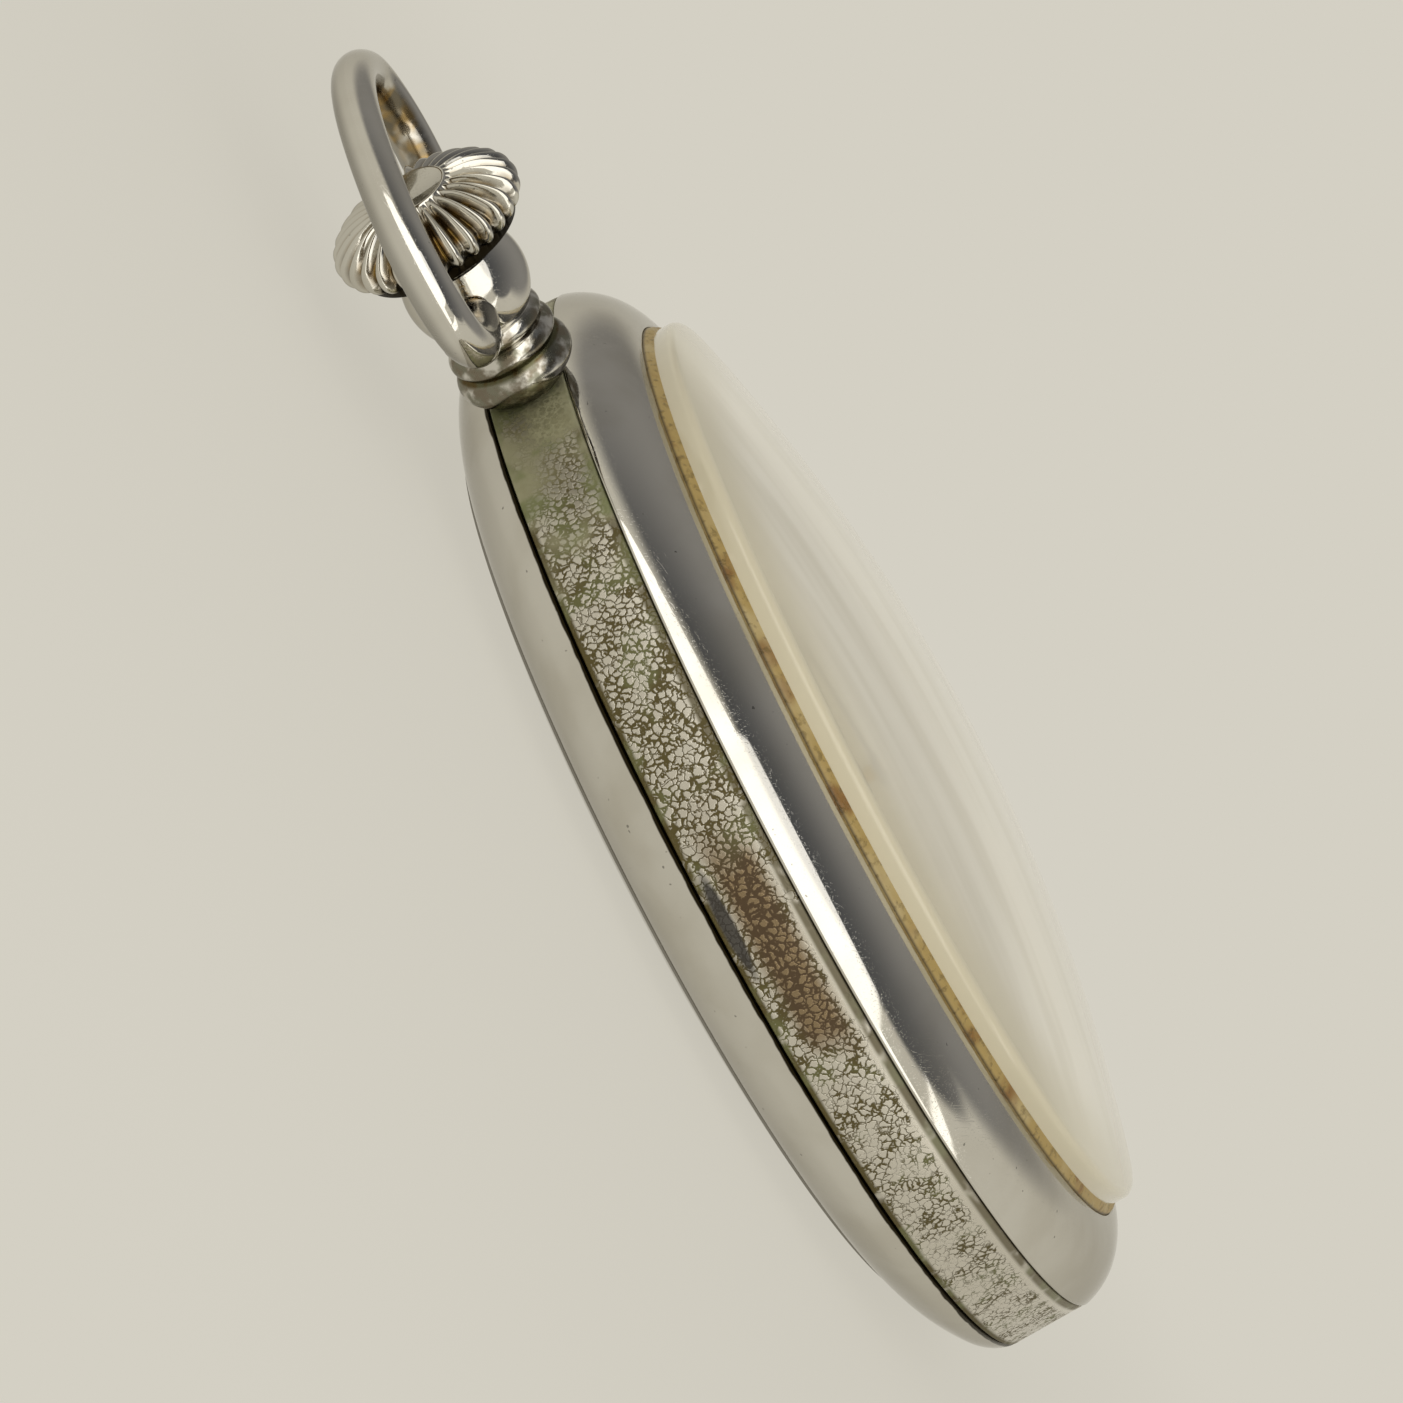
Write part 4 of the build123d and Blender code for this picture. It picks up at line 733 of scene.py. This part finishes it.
def bend_wire(bm, section, point, bends):
    """Sweeps a section of wire up one side of the bow, through bends of a radius and a turn in
    degrees, and on in one last bend that ends square across the top."""
    heading = 0.0
    for radius, turn in bends + [(None, 180 - sum(turn for radius, turn in bends))]:
        if radius is None:
            radius = point.x / math.sin(math.radians(turn))
        a, b = math.radians(heading), math.radians(heading + turn)
        centre = point + Vector((-math.sin(a), math.cos(a))) * radius
        section = bmesh.ops.spin(
            bm, geom=section, cent=(centre.x * MM, centre.y * MM, STEM_Z * MM), axis=(0, 0, 1),
            dvec=(0, 0, 0), angle=b - a, steps=int(turn / 2.5), use_merge=False)["geom_last"]
        point = centre + Vector((math.sin(b), -math.cos(b))) * radius
        heading += turn


def extrude_leg(bm, rim, x, radius):
    """Carries the open end of the bow's leg on to x with a new radius, in millimetres, and
    gives its new rim and corners."""
    grown = bmesh.ops.extrude_edge_only(bm, edges=rim)["geom"]
    corners = [v for v in grown if isinstance(v, bmesh.types.BMVert)]
    edges = [e for e in grown if isinstance(e, bmesh.types.BMEdge)]
    middle = Vector((corners[0].co.x, HINGE_Y * MM, STEM_Z * MM))
    size = radius * MM / (corners[0].co - middle).length
    bmesh.ops.scale(bm, verts=corners, vec=(1, size, size), space=Matrix.Translation(-middle))
    bmesh.ops.translate(bm, verts=corners, vec=(x * MM - middle.x, 0, 0))
    return [e for e in edges if e.verts[0] in corners and e.verts[1] in corners], corners


class STOPWATCH_OT_bow(bpy.types.Operator):
    """Builds the bow: bent wire with rounded ends and two hinge pins"""

    bl_idname = "stopwatch.bow"
    bl_label = "Bow"

    def execute(self, context):
        settings = context.scene.stopwatch
        wire, pin, start, end, nose = 0.915, 0.7, BALL_R + 0.65, BALL_R + 0.13, 0.22
        bm = bmesh.new()
        ring = bmesh.ops.create_circle(bm, cap_ends=False, segments=40, radius=wire * MM)["verts"]
        bmesh.ops.rotate(bm, verts=ring, cent=(0, 0, 0),
                         matrix=Matrix.Rotation(math.pi / 2, 3, "Y"))
        bmesh.ops.translate(bm, verts=ring, vec=(start * MM, HINGE_Y * MM, STEM_Z * MM))
        rim = list(bm.edges)
        bend_wire(bm, bm.verts[:] + bm.edges[:], Vector((start, HINGE_Y)),
                  [(7.0, 45), (3.08, 45), (3.59, 60)])
        rim, corners = extrude_leg(bm, rim, end + nose, wire)
        for step in range(1, 9):  # the leg's end is rounded off, then narrows to the pin
            a = math.radians(step * 11.25)
            rim, corners = extrude_leg(bm, rim, end + nose * (1 - math.sin(a)),
                                       pin + (wire - pin) * math.cos(a))
        rim, corners = extrude_leg(bm, rim, BALL_R - 1.15, pin)
        bm.faces.new(sorted(corners, key=lambda v: math.atan2(
            v.co.z - STEM_Z * MM, v.co.y - HINGE_Y * MM)))
        bmesh.ops.mirror(bm, geom=bm.verts[:] + bm.edges[:] + bm.faces[:],
                         matrix=Matrix.Identity(4), merge_dist=2e-6, axis="X")
        bmesh.ops.remove_doubles(bm, verts=bm.verts[:], dist=2e-6)
        bmesh.ops.recalc_face_normals(bm, faces=bm.faces[:])
        bm.normal_update()
        inner, down_shade = (bm.verts.layers.float.new(name) for name in ("inner", "down_shade"))
        middle = Vector((0, LOOP_Y, STEM_Z)) * MM
        for v in bm.verts:
            v[inner] = max(0.0, v.normal.dot((middle - v.co).normalized()))
            # this mask, of faces turned downwards, carries the bow's painted shade
            v[down_shade] = max(0.0, -v.normal.z)
        plate = polished_nickel("nickel_plate_bow", settings.nickel, bow_tarnish)
        finish_piece(bm, "bow_piece", plate, "bow", "bow")
        return {"FINISHED"}


def stroke(bm, centre, angle, r0, r1, width):
    """One dial mark in millimetres: a bar from radius r0 to r1, at an angle clockwise from 12."""
    box = bmesh.ops.create_cube(bm, size=MM)["verts"]
    bmesh.ops.scale(bm, verts=box, vec=(width, r1 - r0, 0.02))
    bmesh.ops.translate(bm, verts=box, vec=(0, (r0 + r1) / 2 * MM, 0.01 * MM))
    bmesh.ops.rotate(bm, verts=box, cent=(0, 0, 0), matrix=Matrix.Rotation(-angle, 3, "Z"))
    bmesh.ops.translate(bm, verts=box, vec=centre * MM)


def numeral(bm, number, size, centre, angle, radius):
    """Adds a number, upright on the dial, at a radius in millimetres and an angle from 12."""
    curve = bpy.data.curves.new("numeral", "FONT")
    curve.body = str(number)
    curve.size = size / MM
    curve.align_x, curve.align_y = "CENTER", "CENTER"
    curve.extrude = 0.01
    curve.resolution_u = 4
    letters = bpy.data.objects.new("numeral", curve)
    bpy.context.scene.collection.objects.link(letters)
    bpy.context.view_layer.update()
    depsgraph = bpy.context.evaluated_depsgraph_get()
    mesh = bpy.data.meshes.new_from_object(letters.evaluated_get(depsgraph))
    place = centre + Vector((0, 0, curve.extrude))
    place += Vector((math.sin(angle), math.cos(angle), 0)) * radius
    mesh.transform(Matrix.Scale(MM, 4) @ Matrix.Translation(place))
    bm.from_mesh(mesh)
    bpy.data.objects.remove(letters)
    bpy.data.curves.remove(curve)
    bpy.data.meshes.remove(mesh)


class STOPWATCH_OT_dial(bpy.types.Operator):
    """Prints the dial: sixty seconds in fifths, and a thirty-minute register"""

    bl_idname = "stopwatch.dial"
    bl_label = "Dial"

    def execute(self, context):
        size = context.scene.stopwatch.numeral_size
        bm = bmesh.new()
        whole, register = Vector((0, 0, DIAL_HIGH.z)), Vector((0, REGISTER_Y, DIAL_HIGH.z))
        fives, seconds, fifths = (19.2, 0.26), (19.6, 0.14), (20.1, 0.08)
        for fifth in range(300):
            start, width = fives if fifth % 25 == 0 else seconds if fifth % 5 == 0 else fifths
            stroke(bm, whole, fifth * math.pi / 150, start, 20.7, width)
        for minute in range(30):
            start, width = (3.45, 0.16) if minute % 5 == 0 else (3.65, 0.09)
            stroke(bm, register, minute * math.pi / 15, start, 4.0, width)
        for number in range(5, 61, 5):
            numeral(bm, number, size, whole, number * math.pi / 30, 17.7)
        for number in range(5, 31, 5):
            numeral(bm, number, size * 0.52, register, number * math.pi / 15, 4.85)
        bmesh.ops.remove_doubles(bm, verts=bm.verts[:], dist=1e-8)
        finish_piece(bm, "dial_print", fired_ink(), "case", None, sharp=20)
        return {"FINISHED"}


class STOPWATCH_OT_movement(bpy.types.Operator):
    """Gives every CAD piece that stays its own finish, by the record's slots"""

    bl_idname = "stopwatch.movement"
    bl_label = "Movement"

    def execute(self, context):
        plain = polished_nickel("nickel_plate_inside", context.scene.stopwatch.nickel)
        finishes = {
            "brass_gilt": machined("frosted_gilt_brass", "d9b56a", "c29a4c", 0.36, 0.12),
            "steel": machined("ground_steel", "c3c3c2", "a9a9a8", 0.27, 0.07, drawn=16),
            "blued_steel": machined("blued_steel", "1d2f66", "16224a", 0.22, 0.09, drawn=10,
                                    depth=0.001),
            "ruby": ruby(),
            "dial_enamel": cream_enamel(),
            "nickel_polished": plain,
            "nickel_worn": plain,
        }
        slots = {part["node"]: part["material_slot"] for part in frame["record"]["subparts"]}
        for name, piece in frame["nodes"].items():
            if not piece.hide_render:
                piece.data.materials.clear()
                piece.data.materials.append(finishes[slots[name]])
        return {"FINISHED"}


# ---- stage ------------------------------------------------------------------------------
def facing(azimuth, elevation):
    """The direction at an azimuth and an elevation in degrees."""
    a, e = math.radians(azimuth), math.radians(elevation)
    return Vector((math.cos(a) * math.cos(e), math.sin(a) * math.cos(e), math.sin(e)))


def lay_floor(pale):
    """A pale card that keeps the object's shadow. The camera, metal and glass see it mostly at
    the backdrop's colour, and wholly so further out."""
    bm = bmesh.new()
    bmesh.ops.create_circle(bm, cap_ends=True, segments=96, radius=0.9)
    bmesh.ops.translate(bm, verts=bm.verts[:], vec=(0, 0, -0.03 * MM))
    floor = make_object(bm, "floor")
    material, tree, where = new_material("pale_card")
    card = add(tree, "BsdfPrincipled", {"Base Color": pale, "Roughness": 0.9})
    rays = add(tree, "LightPath").outputs
    seen = add(tree, "Math", {0: rays["Is Glossy Ray"], 1: rays["Is Transmission Ray"]},
               operation="MAXIMUM")
    seen = add(tree, "Math", {0: rays["Is Camera Ray"], 1: seen}, operation="MAXIMUM")
    far = add(tree, "VectorMath", {0: where}, operation="LENGTH").outputs["Value"]
    even = add(tree, "MapRange", {"Value": far, "From Min": 30 * MM, "From Max": 120 * MM,
                                  "To Min": 0.8}, interpolation_type="SMOOTHSTEP")
    share = add(tree, "Math", {0: seen, 1: even}, operation="MULTIPLY")
    glow = add(tree, "Emission", {"Color": pale})
    mixed = add(tree, "MixShader", {0: share, 1: card, 2: glow})
    add(tree, "OutputMaterial", {"Surface": mixed})
    floor.data.materials.append(material)


def light_room(pale):
    """The backdrop as the camera and glass see it, an even light on plain surfaces, and in
    polished metal the backdrop again with three soft dim discs of a ceiling."""
    world = bpy.data.worlds.new("studio")
    bpy.context.scene.world = world
    world.use_nodes = True
    tree = world.node_tree
    tree.nodes.clear()
    rays = add(tree, "LightPath").outputs
    ray = add(tree, "TexCoord").outputs["Generated"]
    across = add(tree, "VectorMath", {0: ray, 1: facing(328, 0)}, operation="DOT_PRODUCT")
    lighter = add(tree, "MapRange",
                  {"Value": across.outputs["Value"], "From Min": -0.7, "From Max": 0.8},
                  interpolation_type="SMOOTHSTEP")
    ceiling = add(tree, "Mix",
                  {0: lighter, 1: (0.08, 0.082, 0.087, 1), 2: (0.3, 0.29, 0.275, 1)},
                  data_type="RGBA")
    room = pale
    for azimuth, elevation, wide, narrow in (
            (10, 66, 60, 46), (216, 58, 24, 17), (150, 74, 32, 24)):
        near = add(tree, "VectorMath", {0: ray, 1: facing(azimuth, elevation)},
                   operation="DOT_PRODUCT")
        inside = add(tree, "MapRange",
                     {"Value": near.outputs["Value"], "From Min": math.cos(math.radians(wide)),
                      "From Max": math.cos(math.radians(narrow))},
                     interpolation_type="SMOOTHSTEP")
        room = add(tree, "Mix", {0: inside, 1: room, 2: ceiling}, data_type="RGBA")
    plain = add(tree, "Mix", {0: rays["Is Glossy Ray"], 1: (0.56, 0.555, 0.53, 1), 2: room},
                data_type="RGBA")
    seen = add(tree, "Math", {0: rays["Is Camera Ray"], 1: rays["Is Transmission Ray"]},
               operation="MAXIMUM")
    shown = add(tree, "Mix", {0: seen, 1: plain, 2: pale}, data_type="RGBA")
    add(tree, "OutputWorld", {"Surface": add(tree, "Background", {"Color": shown})})


def hang_lamps():
    """A window of soft light on the camera's side, in upright leaves that differ in height."""
    out, side, away, sill, strength = facing(146, 0), facing(236, 0), 0.45, 0.08, 3.5
    for left, right, top in ((-1.15, -0.70, 0.50), (-0.70, -0.18, 0.48), (-0.18, 0.50, 0.67),
                             (0.50, 1.15, 0.26), (1.25, 2.6, 1.1)):
        lamp = bpy.data.lights.new("window_leaf", "AREA")
        lamp.shape = "RECTANGLE"
        lamp.size, lamp.size_y = right - left, top - sill
        lamp.energy = strength * lamp.size * lamp.size_y
        lamp.color = (1.0, 0.985, 0.955)
        panel = bpy.data.objects.new("window_leaf", lamp)
        panel.location = out * away + side * (left + right) / 2 + Vector((0, 0, (top + sill) / 2))
        panel.rotation_euler = out.to_track_quat("Z", "Y").to_euler()
        panel.visible_camera = False
        bpy.context.scene.collection.objects.link(panel)


class STOPWATCH_OT_stage(bpy.types.Operator):
    """Sets the pale floor, the backdrop, the soft lamps and the camera"""

    bl_idname = "stopwatch.stage"
    bl_label = "Stage"

    def execute(self, context):
        scene = context.scene
        scene.view_settings.view_transform = "Standard"
        lay_floor(scene.stopwatch.backdrop)
        light_room(scene.stopwatch.backdrop)
        hang_lamps()

        camera = bpy.data.cameras.new("camera")
        camera.lens = 128.3
        camera.sensor_width = 36.0
        camera.clip_start = 0.01
        eye = bpy.data.objects.new("camera", camera)
        aim, away = Vector((3.117, 5.392, 4.081)), facing(148.294, 7.299)
        distance, roll = 219.996, -62.345
        eye.location = (aim + away * distance) * MM
        eye.rotation_mode = "QUATERNION"
        level = (-away).to_track_quat("-Z", "Y")
        eye.rotation_quaternion = Quaternion(-away, math.radians(roll)) @ level
        scene.collection.objects.link(eye)
        scene.camera = eye
        return {"FINISHED"}


class STOPWATCH_PT_panel(bpy.types.Panel):
    """Lists the stopwatch's pieces and settings"""

    bl_label = "Pocket stopwatch"
    bl_idname = "STOPWATCH_PT_panel"
    bl_space_type = "VIEW_3D"
    bl_region_type = "UI"
    bl_category = "Stopwatch"

    def draw(self, context):
        settings = context.scene.stopwatch
        for name in settings.bl_rna.properties.keys():
            if name not in ("rna_type", "name"):
                self.layout.prop(settings, name)
        for operator in OPERATORS:
            self.layout.operator(operator.bl_idname)


OPERATORS = (STOPWATCH_OT_case, STOPWATCH_OT_crystal, STOPWATCH_OT_pendant, STOPWATCH_OT_crown,
             STOPWATCH_OT_bow, STOPWATCH_OT_dial, STOPWATCH_OT_movement, STOPWATCH_OT_stage)
CLASSES = (StopwatchSettings, *OPERATORS, STOPWATCH_PT_panel)


def register():
    for cls in CLASSES:
        bpy.utils.register_class(cls)
    bpy.types.Scene.stopwatch = bpy.props.PointerProperty(type=StopwatchSettings)


def unregister():
    del bpy.types.Scene.stopwatch
    for cls in reversed(CLASSES):
        bpy.utils.unregister_class(cls)


def main():
    register()
    for operator in OPERATORS:
        family, name = operator.bl_idname.split(".")
        getattr(getattr(bpy.ops, family), name)()


if __name__ == "__main__":
    main()
